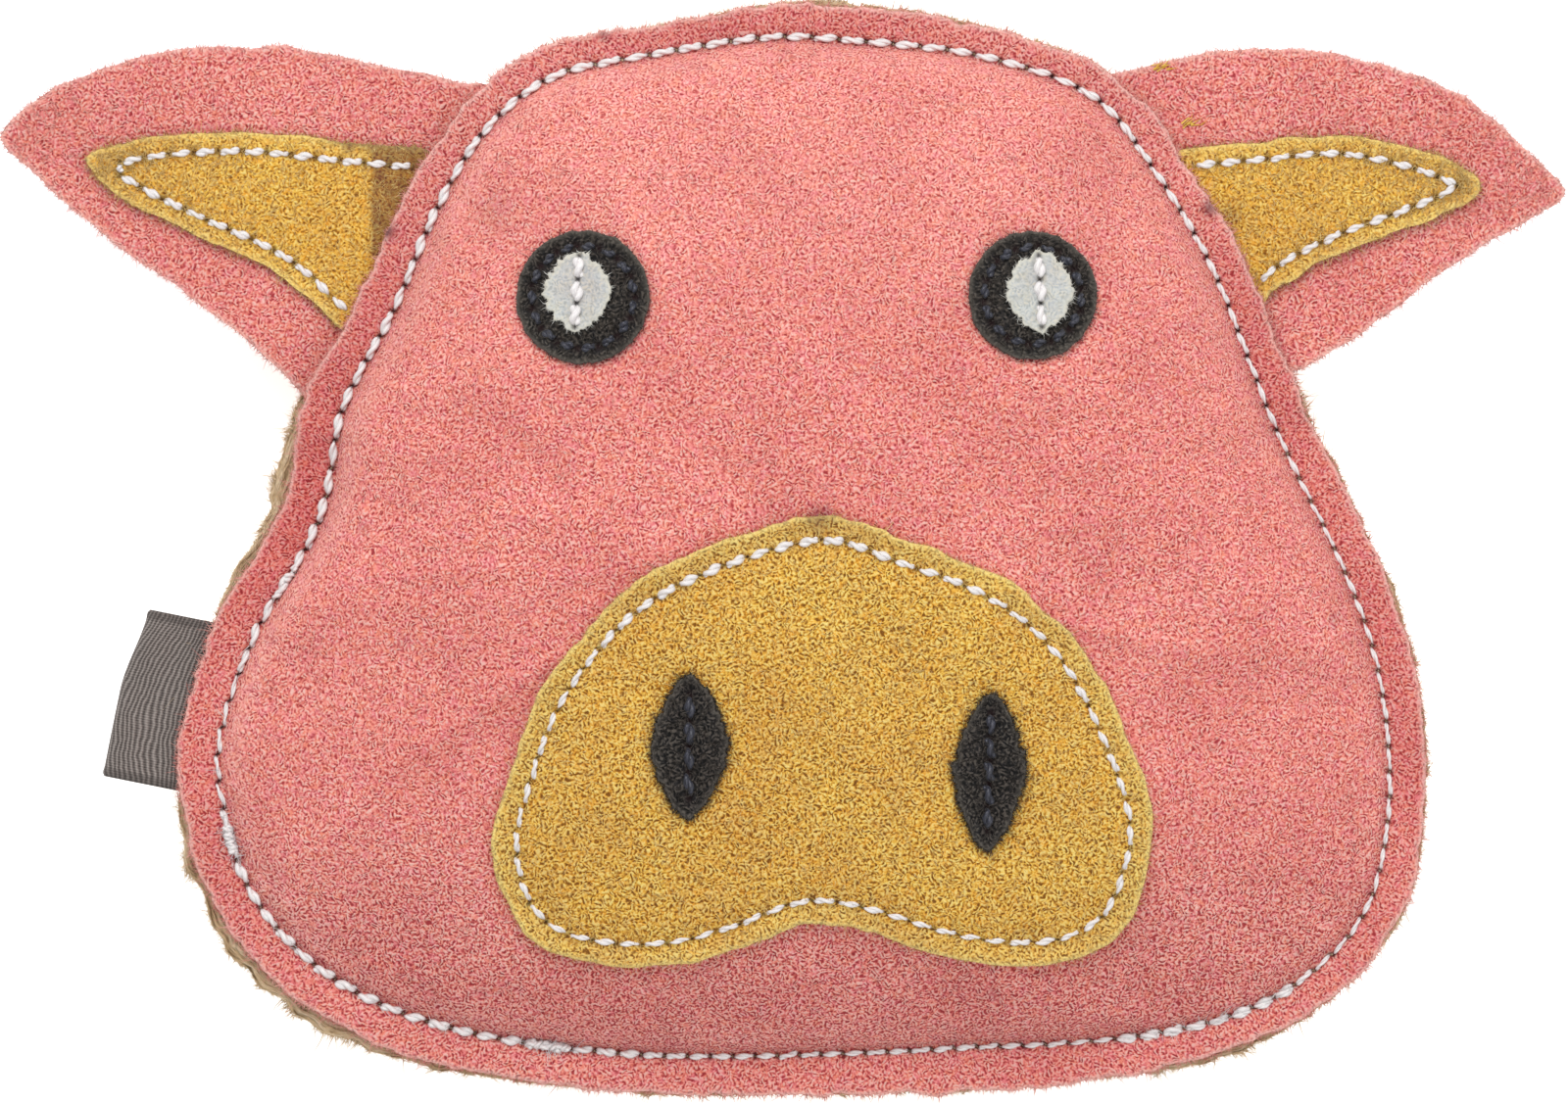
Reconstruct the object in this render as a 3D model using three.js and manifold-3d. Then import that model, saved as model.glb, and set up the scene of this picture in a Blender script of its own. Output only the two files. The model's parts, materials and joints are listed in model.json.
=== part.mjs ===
import * as THREE from "three";
import Module from "manifold-3d";
import { mergeVertices } from "three/addons/utils/BufferGeometryUtils.js";

// A stuffed pig's head sewn from suede, lying on its back with its face up.
// Millimetres. +X is right as one looks at the face, +Y its top, +Z out of it.
// Heights are counted from the seam plane, and the last lines stand it on Z = 0.

const wasm = await Module();
wasm.setup();

// Gaps and sheet thicknesses
const clearance = 0.3; // between two pieces that touch
const faceLeather = 1.3;
const patchLeather = 1.1; // snout patch and ear linings
const juteCloth = 1.0;
const disc = 1.0; // the black leather of eyes and nostrils
const highlightLeather = 0.9;
const tapeThickness = 0.4;

// The head's two panels
const headWidth = 151.3;
const headHeight = 132.8;
const seamInset = 4.2; // from the raw edge to the stitches
const faceCrown = 18;
const backCrown = 15;
const puffPower = 2.4; // higher is flatter in the middle
const puffEdge = 0.7; // lower is steeper at the seam
const restFlat = 0.5; // how deep the back is pressed flat where it lies
const stuffingClearance = 0.6;

// The panels' outline, in shares of half the width and half the height
const headShape = [
  [-0.03, 1], [-0.24, 0.96], [-0.42, 0.92], [-0.55, 0.81], [-0.64, 0.65], [-0.71, 0.47],
  [-0.8, 0.28], [-0.84, 0.08], [-0.94, -0.12], [-1, -0.32], [-1, -0.46], [-0.945, -0.66],
  [-0.81, -0.83], [-0.6, -0.94], [-0.28, -0.995], [0.05, -1], [0.36, -0.985], [0.615, -0.94],
  [0.81, -0.855], [0.95, -0.7], [1, -0.48], [0.985, -0.225], [0.925, -0.015], [0.81, 0.25],
  [0.71, 0.53], [0.61, 0.72], [0.5, 0.87], [0.325, 0.95], [0.17, 0.985],
];

// The snout patch, its outline in shares of half its width and height
const snoutWidth = 80;
const snoutHeight = 54.8;
const snoutX = 2.4;
const snoutY = -23.4;
const snoutStitchInset = 2.8;
const snoutShape = [
  [-0.01, 1], [-0.39, 0.84], [-0.64, 0.62], [-0.85, 0.24], [-0.96, -0.18], [-1, -0.44],
  [-0.96, -0.73], [-0.85, -0.91], [-0.67, -0.985], [-0.45, -0.985], [-0.25, -0.91], [-0.04, -0.8],
  [0.14, -0.84], [0.34, -0.93], [0.54, -0.985], [0.74, -0.97], [0.9, -0.84], [0.975, -0.62],
  [1, -0.33], [0.91, 0.07], [0.76, 0.46], [0.54, 0.73], [0.26, 0.89],
];

// Nostrils and eyes, placed from the middle of the panels
const nostrils = {
  left: { x: -13.8, y: -23.8, length: 17.6, width: 8.6, tilt: 1 },
  right: { x: 22.5, y: -26.9, length: 19.4, width: 8.8, tilt: 2 },
};
const eyes = {
  left: { x: -26.7, y: 30.6, radius: 8.1, highlightX: -0.7, highlightY: 0.7 },
  right: { x: 27.8, y: 30.8, radius: 7.8, highlightX: 0.9, highlightY: 0.5 },
};
const highlightRadius = 3.9;
const highlightPoint = 0.9; // how far its two points stand out of the round
const eyeStitchInset = 1.8;

// The ears: where their roots meet the panels' edge, in degrees, and how far they reach
const ears = {
  left: {
    rootLow: 163,
    rootHigh: 124.3,
    reach: 48,
    liningReach: 37.5,
    edge: [
      [0.89, 0.135], [0.75, 0.33], [0.59, 0.52], [0.27, 0.75], [-0.16, 0.93], [-0.48, 1],
      [-0.615, 0.99], [-0.68, 0.875], [-0.77, 0.645], [-0.84, 0.355], [-0.91, 0.155],
    ],
    lining: [
      [0.52, 0.065], [0.34, 0.29], [0.115, 0.585], [-0.16, 0.84], [-0.385, 0.985], [-0.48, 1],
      [-0.545, 0.865], [-0.525, 0.6], [-0.48, 0.29], [-0.57, 0.03],
    ],
  },
  right: {
    rootLow: 19.95,
    rootHigh: 57.2,
    reach: 40,
    liningReach: 32,
    edge: [
      [0.895, 0.16], [0.8, 0.31], [0.54, 0.55], [0.165, 0.76], [-0.165, 0.89], [-0.54, 0.96],
      [-0.92, 1], [-0.945, 0.81], [-0.945, 0.59], [-1.01, 0.29], [-1.01, 0.06],
    ],
    lining: [
      [0.425, 0.08], [0.21, 0.375], [0.025, 0.625], [-0.26, 0.83], [-0.59, 1], [-0.66, 0.985],
      [-0.66, 0.765], [-0.565, 0.42], [-0.54, 0.17], [-0.59, 0.05],
    ],
  },
};
const liningStitchInset = 2.2;
const threadFoldGap = 3.6; // no stitches nearer the fold, or the folded ear would rub them on the face
const rootTuck = 1.5; // how far sewn-in roots reach past the stitches
const rootLength = 12; // what the roots are cut from, before the panels' seam line trims them

// The folded tape in the seam
const labelMiddle = 194.2; // degrees round the panels' edge
const labelWidth = 21;
const labelReach = 8.4; // from the panels' edge to the fold

// Threads
const stitchPitch = 3.2;
const patchStitchPitch = 3.05; // snout patch and ear linings
const eyeStitchPitch = 2.8;
const tackPitch = 2.4;
const nostrilTackPitch = 3.2;
const nostrilTackMargin = 2.6;
const threadRadius = 0.5;
const holeShare = 0.6; // how much of it shows where it dives into a hole
const threadClearance = 0.42; // between a thread and the leather it lies on
const threadSeat = 0.55; // how far outside the crease the seam's threads lie
const threadEndGap = 0.6; // degrees between the ends of the two runs
const seamGapStart = 183; // degrees: the stretch sewn last, after the stuffing went in
const seamGapEnd = 247;

// How finely the forms are cut
const faceSteps = 56;
const backSteps = 48;
const stuffingSteps = 40;
const snoutSteps = 48;
const nostrilSteps = 16;
const discSteps = 18;
const loopDetail = 8;
const facePuffRings = [0.22, 0.42, 0.6, 0.74, 0.85, 0.93, 0.98, 1];
const backPuffRings = [0.5, 0.7, 0.85, 0.95, 1];
const stuffingRings = [0.3, 0.55, 0.75, 0.88, 0.95];
const snoutRings = [0.3, 0.6, 0.85, 1];
const discRings = [0.6, 1];
const leafPower = 1.4; // between a diamond, 1, and an ellipse, 2
const sideStep = 0.5; // for slopes
const calmDirections = [-36, -24, -12, 0, 12, 24, 36]; // degrees
const calmPower = 4;

const earStack = faceLeather + clearance + patchLeather;
const labelStack = 2 * tapeThickness + clearance;
const degree = Math.PI / 180;

// Loops and paths in the plane

// A smooth closed loop through a few chosen points
function smoothLoop(points) {
  const corners = points.map(([x, y]) => new THREE.Vector3(x, y, 0));
  const curve = new THREE.CatmullRomCurve3(corners, true, "catmullrom");
  const samples = curve.getPoints(points.length * loopDetail).slice(0, -1);
  return samples.map((p) => new THREE.Vector2(p.x, p.y));
}

// A smooth open path through a few chosen points
function smoothPath(points, detail) {
  const corners = points.map((p) => new THREE.Vector3(p.x, p.y, 0));
  const curve = new THREE.CatmullRomCurve3(corners, false, "catmullrom");
  return curve.getPoints(points.length * detail).map((p) => new THREE.Vector2(p.x, p.y));
}

// A loop moved inwards, without the stretches that would cross each other
function insetLoop(loop, distance) {
  const n = loop.length;
  const inward = THREE.ShapeUtils.isClockWise(loop) ? -distance : distance;
  const moved = loop.map((p, i) => {
    const along = loop[(i + 1) % n].clone().sub(loop[(i + n - 1) % n]).normalize();
    return new THREE.Vector2(p.x - along.y * inward, p.y + along.x * inward);
  });
  return moved.filter((p) => loop.every((q) => q.distanceTo(p) > 0.97 * distance));
}

// The distance of a loop from its middle as a function of the direction
function radiusByAngle(loop) {
  const polar = loop.map((p) => [p.angle(), p.length()]).sort((a, b) => a[0] - b[0]);
  const n = polar.length;
  return (angle) => {
    const turn = THREE.MathUtils.euclideanModulo(angle, 2 * Math.PI);
    let after = polar.findIndex(([a]) => a > turn);
    if (after < 0) after = n;
    const [a0, r0] = polar[(after + n - 1) % n];
    const [a1, r1] = polar[after % n];
    const span = THREE.MathUtils.euclideanModulo(a1 - a0, 2 * Math.PI);
    const past = THREE.MathUtils.euclideanModulo(turn - a0, 2 * Math.PI);
    return THREE.MathUtils.lerp(r0, r1, past / span);
  };
}

const headEdge = smoothLoop(headShape.map(([x, y]) => [(x * headWidth) / 2, (y * headHeight) / 2]));
const seamLine = insetLoop(headEdge, seamInset);
const edgeRadius = radiusByAngle(headEdge);
const seamRadius = radiusByAngle(seamLine);

function fromPolar(angle, radius) {
  return new THREE.Vector2(radius * Math.cos(angle), radius * Math.sin(angle));
}

// What is sewn into the seam: a frame along and out of the panels' edge, and its thickness
function seamInsert(lowAngle, highAngle, stack) {
  const low = fromPolar(lowAngle, edgeRadius(lowAngle));
  const high = fromPolar(highAngle, edgeRadius(highAngle));
  const middle = low.clone().add(high).multiplyScalar(0.5);
  const along = high.clone().sub(low).normalize();
  const out = new THREE.Vector2(-along.y, along.x);
  if (out.dot(middle) < 0) out.negate();
  const toHead = (a, o) => middle.clone().addScaledVector(along, a).addScaledVector(out, o);
  const span = Math.abs(highAngle - lowAngle) / 2;
  const facing = (lowAngle + highAngle) / 2;
  const near = headEdge.filter((p) => Math.abs(angleBetween(p.angle(), facing)) < span);
  const bulge = Math.max(0, ...near.map((p) => p.clone().sub(middle).dot(out)));
  const nose = stack / 2;
  const fold = bulge + clearance + nose;
  const half = low.distanceTo(high) / 2;
  return { middle, out, toHead, half, span, facing, bulge, nose, fold };
}

function angleBetween(a, b) {
  return THREE.MathUtils.euclideanModulo(a - b + Math.PI, 2 * Math.PI) - Math.PI;
}

function labelSpan() {
  const radius = edgeRadius(labelMiddle * degree);
  return Math.asin(labelWidth / 2 / radius);
}

const leftInsert = seamInsert(ears.left.rootLow * degree, ears.left.rootHigh * degree, earStack);
const rightInsert = seamInsert(ears.right.rootLow * degree, ears.right.rootHigh * degree, earStack);
const labelInsert = seamInsert(
  labelMiddle * degree + labelSpan(),
  labelMiddle * degree - labelSpan(),
  labelStack,
);
const inserts = [leftInsert, rightInsert, labelInsert];

// The domes

// Half the gap between the panels at the seam, wider where something is sewn in between
function seamGap(angle) {
  const widest = (2 * Math.PI) / backSteps;
  const plain = clearance / 2;
  const gaps = inserts.map((insert) => {
    const past = Math.abs(angleBetween(angle, insert.facing)) - insert.span - widest;
    const share = 1 - THREE.MathUtils.smoothstep(past, 0, widest);
    return THREE.MathUtils.lerp(plain, insert.nose + clearance, share);
  });
  return Math.max(...gaps);
}

// The puffed profile: 1 in the middle of the head, 0 at the stitches and outside them
function puff(share) {
  return share >= 1 ? 0 : (1 - share ** puffPower) ** puffEdge;
}

// How far out a place is, 0 in the middle and 1 at the stitches. Nearer the middle it follows the
// seam line averaged over neighbouring directions, so that no ridge runs in from a bend of the seam.
function seamShare(x, y) {
  const angle = Math.atan2(y, x);
  const share = Math.hypot(x, y) / seamRadius(angle);
  const calm = Math.hypot(x, y) / calmRadius(angle);
  return THREE.MathUtils.lerp(calm, share, Math.min(1, share ** calmPower));
}

function calmRadius(angle) {
  const radii = calmDirections.map((turn) => seamRadius(angle + turn * degree));
  return radii.reduce((sum, r) => sum + r, 0) / radii.length;
}

// Height of the face panel's inner side, and depth of the back panel's, from the seam plane
function faceInner(x, y) {
  const share = Math.min(1, seamShare(x, y));
  return seamGap(Math.atan2(y, x)) * share ** 6 + faceCrown * puff(share);
}

function backInner(x, y) {
  const share = Math.min(1, seamShare(x, y));
  const depth = seamGap(Math.atan2(y, x)) * share ** 6 + backCrown * puff(share);
  return Math.min(depth, backCrown - restFlat);
}

// How much longer a height is than the distance square to a surface
function slope(surface, x, y) {
  const dx = surface(x + sideStep, y) - surface(x - sideStep, y);
  const dy = surface(x, y + sideStep) - surface(x, y - sideStep);
  return Math.hypot(1, dx / (2 * sideStep), dy / (2 * sideStep));
}

// Heights at a distance over the face's outer side, under its inner side and over the back's
function overFace(x, y, lift) {
  return faceInner(x, y) + (faceLeather + lift) * slope(faceInner, x, y);
}

function underFace(x, y, lift) {
  return faceInner(x, y) - lift * slope(faceInner, x, y);
}

function overBack(x, y, lift) {
  return -backInner(x, y) - (juteCloth + lift) * slope(backInner, x, y);
}

// Solids

// A closed sheet on rings round a middle, from the sheet's height at its top and its bottom
function sheetSolid(steps, shares, pointAt, topAt, bottomAt) {
  const places = [[pointAt(0, 0), 0]];
  for (const share of shares)
    for (let j = 0; j < steps; j++) places.push([pointAt((2 * Math.PI * j) / steps, share), share]);
  const n = places.length;
  const vertices = [];
  for (const height of [topAt, bottomAt])
    for (const [p, share] of places) vertices.push(p.x, p.y, height(p.x, p.y, share));
  const faces = [];
  const ring = (i, j) => 1 + i * steps + (j % steps);
  const both = (a, b, c) => faces.push(a, b, c, n + a, n + c, n + b);
  const last = shares.length - 1;
  for (let j = 0; j < steps; j++) {
    both(0, ring(0, j), ring(0, j + 1));
    for (let i = 0; i < last; i++) {
      both(ring(i, j), ring(i + 1, j), ring(i + 1, j + 1));
      both(ring(i, j), ring(i + 1, j + 1), ring(i, j + 1));
    }
    faces.push(ring(last, j), n + ring(last, j), n + ring(last, j + 1));
    faces.push(ring(last, j), n + ring(last, j + 1), ring(last, j + 1));
  }
  return bufferGeometry(vertices, faces);
}

function bufferGeometry(vertices, faces) {
  const geometry = new THREE.BufferGeometry();
  geometry.setAttribute("position", new THREE.Float32BufferAttribute(vertices, 3));
  geometry.setIndex(faces);
  return geometry;
}

// A flat plate from an outline in the head's plane
function plate(outline, low, high) {
  const shape = new THREE.Shape(outline);
  const geometry = new THREE.ExtrudeGeometry(shape, { depth: high - low, bevelEnabled: false });
  return geometry.translate(0, 0, low);
}

function toManifold(geometry) {
  const bare = geometry.clone();
  bare.deleteAttribute("normal");
  bare.deleteAttribute("uv");
  const merged = mergeVertices(bare, 1e-4);
  const mesh = new wasm.Mesh({
    numProp: 3,
    vertProperties: new Float32Array(merged.attributes.position.array),
    triVerts: new Uint32Array(merged.index.array),
  });
  return new wasm.Manifold(mesh);
}

function fromManifold(solid) {
  const mesh = solid.getMesh();
  return bufferGeometry(Array.from(mesh.vertProperties), Array.from(mesh.triVerts));
}

// A bar along an insert's fold line, from its section across the fold
function foldBar(insert, section, length) {
  const shape = new THREE.Shape(section.map(([o, z]) => new THREE.Vector2(o, z)));
  const bar = new THREE.ExtrudeGeometry(shape, { depth: length, bevelEnabled: false });
  const { out } = insert;
  const up = new THREE.Vector3(0, 0, 1);
  const across = new THREE.Vector3(out.x, out.y, 0);
  const lengthwise = across.clone().cross(up);
  const start = insert.toHead(0, insert.fold);
  bar.translate(0, 0, -length / 2);
  bar.applyMatrix4(new THREE.Matrix4().makeBasis(across, up, lengthwise));
  return bar.translate(start.x, start.y, 0);
}

// Points of an arc about the fold line, in the section across it
function foldArc(radius, fromDegrees, toDegrees, steps) {
  return Array.from({ length: steps + 1 }, (_, i) => {
    const angle = THREE.MathUtils.lerp(fromDegrees, toDegrees, i / steps) * degree;
    return [radius * Math.cos(angle), radius * Math.sin(angle)];
  });
}

// The part of a sewn-in layer that folds: everything past a round nose on the fold line
function foldingPart(insert, layer, reach) {
  const far = 2 * reach;
  const nose = foldArc(insert.nose, 90, 270, 8);
  const section = [[far, insert.nose], ...nose, [far, -insert.nose]];
  const envelope = foldBar(insert, section, 4 * reach);
  return fromManifold(toManifold(layer).intersect(toManifold(envelope)));
}

// The part of a sewn-in layer that stays in the seam
function rootPart(insert, layer, width) {
  const ends = [[-width, -width], [width, -width], [width, insert.bulge], [-width, insert.bulge]];
  const inner = plate(ends.map(([a, o]) => insert.toHead(a, o)), -earStack, earStack);
  const plugLoop = insetLoop(headEdge, seamInset + rootTuck).filter((_, i) => i % 3 === 0);
  const plug = plate(plugLoop, -earStack, earStack);
  return fromManifold(toManifold(layer).intersect(toManifold(inner)).subtract(toManifold(plug)));
}

// A thread along a path: rings that swell between the holes and thin at them
function threadTube(rings, closed, sides) {
  const n = rings.length;
  const vertices = [];
  const up = new THREE.Vector3(0, 0, 1);
  rings.forEach(({ centre, radius }, i) => {
    const next = rings[closed ? (i + 1) % n : Math.min(i + 1, n - 1)].centre;
    const before = rings[closed ? (i + n - 1) % n : Math.max(i - 1, 0)].centre;
    const along = next.clone().sub(before).normalize();
    const side = along.clone().cross(up).normalize();
    const lift = side.clone().cross(along);
    for (let j = 0; j < sides; j++) {
      const angle = ((j + 0.5) / sides) * 2 * Math.PI;
      const p = centre.clone().addScaledVector(side, radius * Math.cos(angle));
      p.addScaledVector(lift, radius * Math.sin(angle));
      vertices.push(p.x, p.y, p.z);
    }
  });
  const faces = [];
  const at = (i, j) => (i % n) * sides + (j % sides);
  for (let i = 0; i < (closed ? n : n - 1); i++)
    for (let j = 0; j < sides; j++) {
      faces.push(at(i, j), at(i + 1, j + 1), at(i, j + 1));
      faces.push(at(i, j), at(i + 1, j), at(i + 1, j + 1));
    }
  if (!closed)
    for (let j = 1; j < sides - 1; j++) {
      faces.push(at(0, 0), at(0, j), at(0, j + 1));
      faces.push(at(n - 1, 0), at(n - 1, j + 1), at(n - 1, j));
    }
  return bufferGeometry(vertices, faces);
}

// A row of stitches along a line in the plane: the thread swells between the holes.
// heightAt gives the height at a distance from the leather it lies on.
function stitchRow(line, heightAt, { closed = false, pitch = stitchPitch, sides = 4 } = {}) {
  const ends = closed ? [...line, line[0]] : line;
  const reached = [0];
  for (let i = 1; i < ends.length; i++) reached.push(reached[i - 1] + ends[i].distanceTo(ends[i - 1]));
  const length = reached[reached.length - 1];
  const stitches = Math.max(2, Math.round(length / pitch));
  const rings = [];
  for (let k = 0; k < 2 * stitches + (closed ? 0 : 1); k++) {
    const along = (length * k) / (2 * stitches);
    const i = Math.max(1, reached.findIndex((r) => r >= along - 1e-6));
    const share = (along - reached[i - 1]) / (reached[i] - reached[i - 1]);
    const p = ends[i - 1].clone().lerp(ends[i], share);
    const radius = k % 2 === 1 ? threadRadius : holeShare * threadRadius;
    const height = heightAt(p.x, p.y, threadClearance + radius);
    rings.push({ centre: new THREE.Vector3(p.x, p.y, height), radius });
  }
  return threadTube(rings, closed, sides);
}

// The scene graph

function finish(color, roughness) {
  return new THREE.MeshStandardMaterial({ color, roughness, metalness: 0 });
}

const pinkSuede = finish(0xe58f86, 0.95);
const ochreSuede = finish(0xd4a04e, 0.95);
const blackLeather = finish(0x2d2b27, 0.85);
const paleLeather = finish(0xc9c8be, 0.8);
const jute = finish(0xc7a985, 1);
const whiteThread = finish(0xf0eee8, 0.6);
const blackThread = finish(0x22242c, 0.5);
const greyTape = finish(0x766c67, 0.9);
const fibre = finish(0xf3f1ea, 1);

const toy = new THREE.Group();
const head = new THREE.Group();
toy.add(head);

function piece(group, name, geometry, material) {
  const mesh = new THREE.Mesh(geometry, material);
  mesh.name = name;
  group.add(mesh);
}

// The panels and the stuffing between them
const flange = 2; // any ring share over 1 stands for the panels' raw edge
function onPanel(angle, share) {
  return fromPolar(angle, share === flange ? edgeRadius(angle) : share * seamRadius(angle));
}

function faceTop(x, y, share) {
  return share < 1 ? overFace(x, y, 0) : faceInner(x, y) + faceLeather;
}

function backBottom(x, y, share) {
  return share < 1 ? overBack(x, y, 0) : -backInner(x, y) - juteCloth;
}

const flatShare = (1 - (1 - restFlat / backCrown) ** (1 / puffEdge)) ** (1 / puffPower);
const faceRings = [...facePuffRings, flange];
const backRings = [flatShare, ...backPuffRings, flange];
const facePanel = sheetSolid(faceSteps, faceRings, onPanel, faceTop, faceInner);
const backPanel = sheetSolid(backSteps, backRings, onPanel, (x, y) => -backInner(x, y), backBottom);
const underThreads = 2 * threadClearance + 2 * threadRadius;
const stuffing = sheetSolid(
  stuffingSteps,
  stuffingRings,
  onPanel,
  (x, y) => underFace(x, y, underThreads),
  (x, y) => overBack(x, y, -juteCloth - stuffingClearance),
);
piece(head, "face_panel", facePanel, pinkSuede);
piece(head, "back_panel", backPanel, jute);
piece(head, "stuffing", stuffing, fibre);

// The seam's threads, front and back, just outside the crease
function seamRun(fromDegrees, toDegrees) {
  const steps = Math.round(toDegrees - fromDegrees);
  return Array.from({ length: steps + 1 }, (_, i) => {
    const angle = THREE.MathUtils.lerp(fromDegrees, toDegrees, i / steps) * degree;
    return fromPolar(angle, seamRadius(angle) + threadSeat);
  });
}

const firstRun = seamRun(seamGapEnd + threadEndGap, 360 + seamGapStart - threadEndGap);
const closingRun = seamRun(seamGapStart, seamGapEnd);
piece(head, "seam_thread", stitchRow(firstRun, overFace), whiteThread);
piece(head, "seam_bobbin_thread", stitchRow(firstRun, overBack, { sides: 3 }), whiteThread);
piece(head, "closing_thread", stitchRow(closingRun, overFace), whiteThread);
piece(head, "closing_bobbin_thread", stitchRow(closingRun, overBack, { sides: 3 }), whiteThread);

// A piece of leather lying on the face, from its outline as a radius round its middle
function applique(middle, radiusAt, lift, thickness, steps, rings) {
  return sheetSolid(
    steps,
    rings,
    (angle, share) => fromPolar(angle, share * radiusAt(angle)).add(middle),
    (x, y) => overFace(x, y, lift + thickness),
    (x, y) => overFace(x, y, lift),
  );
}

// Stitches that hold it: on top of it, and inside the head
function appliqueThreads(name, line, lift, material, options) {
  const above = (x, y, gap) => overFace(x, y, lift + gap);
  piece(head, name + "_thread", stitchRow(line, above, options), material);
  const inside = stitchRow(line, underFace, { ...options, sides: 3 });
  piece(head, name + "_bobbin_thread", inside, material);
}

// The snout patch
const snoutMiddle = new THREE.Vector2(snoutX, snoutY);
const snoutLoop = smoothLoop(
  snoutShape.map(([x, y]) => [(x * snoutWidth) / 2, (y * snoutHeight) / 2]),
);
const snoutPatch = applique(
  snoutMiddle,
  radiusByAngle(snoutLoop),
  clearance,
  patchLeather,
  snoutSteps,
  snoutRings,
);
const onSnout = 2 * clearance + patchLeather;
const snoutLine = insetLoop(snoutLoop, snoutStitchInset).map((p) => p.add(snoutMiddle));
const snoutStitches = { closed: true, pitch: patchStitchPitch };
piece(head, "snout_patch", snoutPatch, ochreSuede);
appliqueThreads("snout", snoutLine, clearance + patchLeather, whiteThread, snoutStitches);

// A straight row of tacks through a middle
function tackLine(middle, length, tilt) {
  const half = fromPolar((90 - tilt) * degree, length / 2);
  return [middle.clone().sub(half), middle.clone(), middle.clone().add(half)];
}

// The nostrils: leaves with pointed ends, each tacked down its middle
for (const [side, { x, y, length, width, tilt }] of Object.entries(nostrils)) {
  const middle = new THREE.Vector2(x, y);
  const radiusAt = (angle) => {
    const turned = angle + tilt * degree;
    const across = Math.abs(Math.cos(turned) / (width / 2)) ** leafPower;
    const lengthwise = Math.abs(Math.sin(turned) / (length / 2)) ** leafPower;
    return (across + lengthwise) ** (-1 / leafPower);
  };
  const leaf = applique(middle, radiusAt, onSnout, disc, nostrilSteps, discRings);
  piece(head, side + "_nostril", leaf, blackLeather);
  const tacks = tackLine(middle, length - nostrilTackMargin, tilt);
  appliqueThreads(side + "_nostril", tacks, onSnout + disc, blackThread, { pitch: nostrilTackPitch });
}

// The eyes: a black disc with a ring of stitches, and a pale highlight tacked on it
for (const [side, eye] of Object.entries(eyes)) {
  const middle = new THREE.Vector2(eye.x, eye.y);
  const round = applique(middle, () => eye.radius, clearance, disc, discSteps, discRings);
  piece(head, side + "_eye", round, blackLeather);
  const stitches = Math.round((2 * Math.PI * (eye.radius - eyeStitchInset)) / eyeStitchPitch);
  const ring = Array.from({ length: 4 * stitches }, (_, i) =>
    fromPolar((2 * Math.PI * i) / (4 * stitches), eye.radius - eyeStitchInset).add(middle),
  );
  const options = { closed: true, pitch: eyeStitchPitch };
  appliqueThreads(side + "_eye", ring, clearance + disc, blackThread, options);
  const glint = new THREE.Vector2(eye.x + eye.highlightX, eye.y + eye.highlightY);
  const pointed = (angle) => highlightRadius + highlightPoint * Math.sin(angle) ** 8;
  const onEye = 2 * clearance + disc;
  const spot = applique(glint, pointed, onEye, highlightLeather, discSteps, discRings);
  piece(head, side + "_highlight", spot, paleLeather);
  const tacks = tackLine(glint, 2 * highlightRadius, 0);
  appliqueThreads(side + "_highlight", tacks, onEye + highlightLeather, whiteThread, { pitch: tackPitch });
}

// The ears: each a pink piece with a lining stitched on its front, sewn into the seam
function layerOutline(insert, shares, reach, detail) {
  const points = shares.map(([a, o]) => insert.toHead(a * insert.half, o * reach));
  return smoothPath(points, detail);
}

function tuckedIn(insert, outline) {
  const ends = [outline[outline.length - 1], outline[0]];
  const inner = ends.map((p) => p.clone().addScaledVector(insert.out, -rootLength));
  return [...outline, ...inner];
}

function buildEar(side, insert, ear) {
  const group = new THREE.Group();
  toy.add(group);
  const edge = layerOutline(insert, [[1, 0], ...ear.edge, [-1, 0]], ear.reach, 2);
  const lining = layerOutline(insert, ear.lining, ear.liningReach, 2);
  const half = earStack / 2;
  const layers = [
    ["", plate(tuckedIn(insert, edge), -half, -half + faceLeather), pinkSuede],
    ["_lining", plate(tuckedIn(insert, lining), half - patchLeather, half), ochreSuede],
  ];
  for (const [suffix, layer, material] of layers) {
    const name = side + "_ear" + suffix;
    piece(group, name, foldingPart(insert, layer, ear.reach), material);
    piece(head, name + "_root", rootPart(insert, layer, 2 * insert.half), material);
  }
  const fine = tuckedIn(insert, layerOutline(insert, ear.lining, ear.liningReach, loopDetail));
  const line = insetLoop(fine, liningStitchInset).filter(
    (p) => p.clone().sub(insert.middle).dot(insert.out) > insert.fold + threadFoldGap,
  );
  const pitch = patchStitchPitch;
  const front = stitchRow(line, (x, y, lift) => half + lift, { pitch });
  const behind = stitchRow(line, (x, y, lift) => -half - lift, { pitch, sides: 3 });
  piece(group, side + "_ear_thread", front, whiteThread);
  piece(group, side + "_ear_bobbin_thread", behind, whiteThread);
}

buildEar("left", leftInsert, ears.left);
buildEar("right", rightInsert, ears.right);

// The label: a tape folded in two, its fold outwards
const label = new THREE.Group();
toy.add(label);
const { nose, fold, bulge } = labelInsert;
const slit = clearance / 2;
const slitDegrees = Math.asin(slit / nose) / degree;
const turn = labelReach - fold - nose;
const outerFold = foldArc(nose, -90, 90, 6).map(([o, z]) => [turn + o, z]);
const upperNose = foldArc(nose, 90, 180 - slitDegrees, 3);
const lowerNose = foldArc(nose, 180 + slitDegrees, 270, 3);
const slitPoints = [[turn, slit], [turn, -slit]];
const labelSection = [...outerFold, ...upperNose, ...slitPoints, ...lowerNose];
const tapeEnds = [[-1, -rootLength], [1, -rootLength], [1, bulge], [-1, bulge]];
const tapeOutline = tapeEnds.map(([a, o]) => labelInsert.toHead((a * labelWidth) / 2, o));
const labelTape = plate(tapeOutline, -nose, nose);
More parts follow.
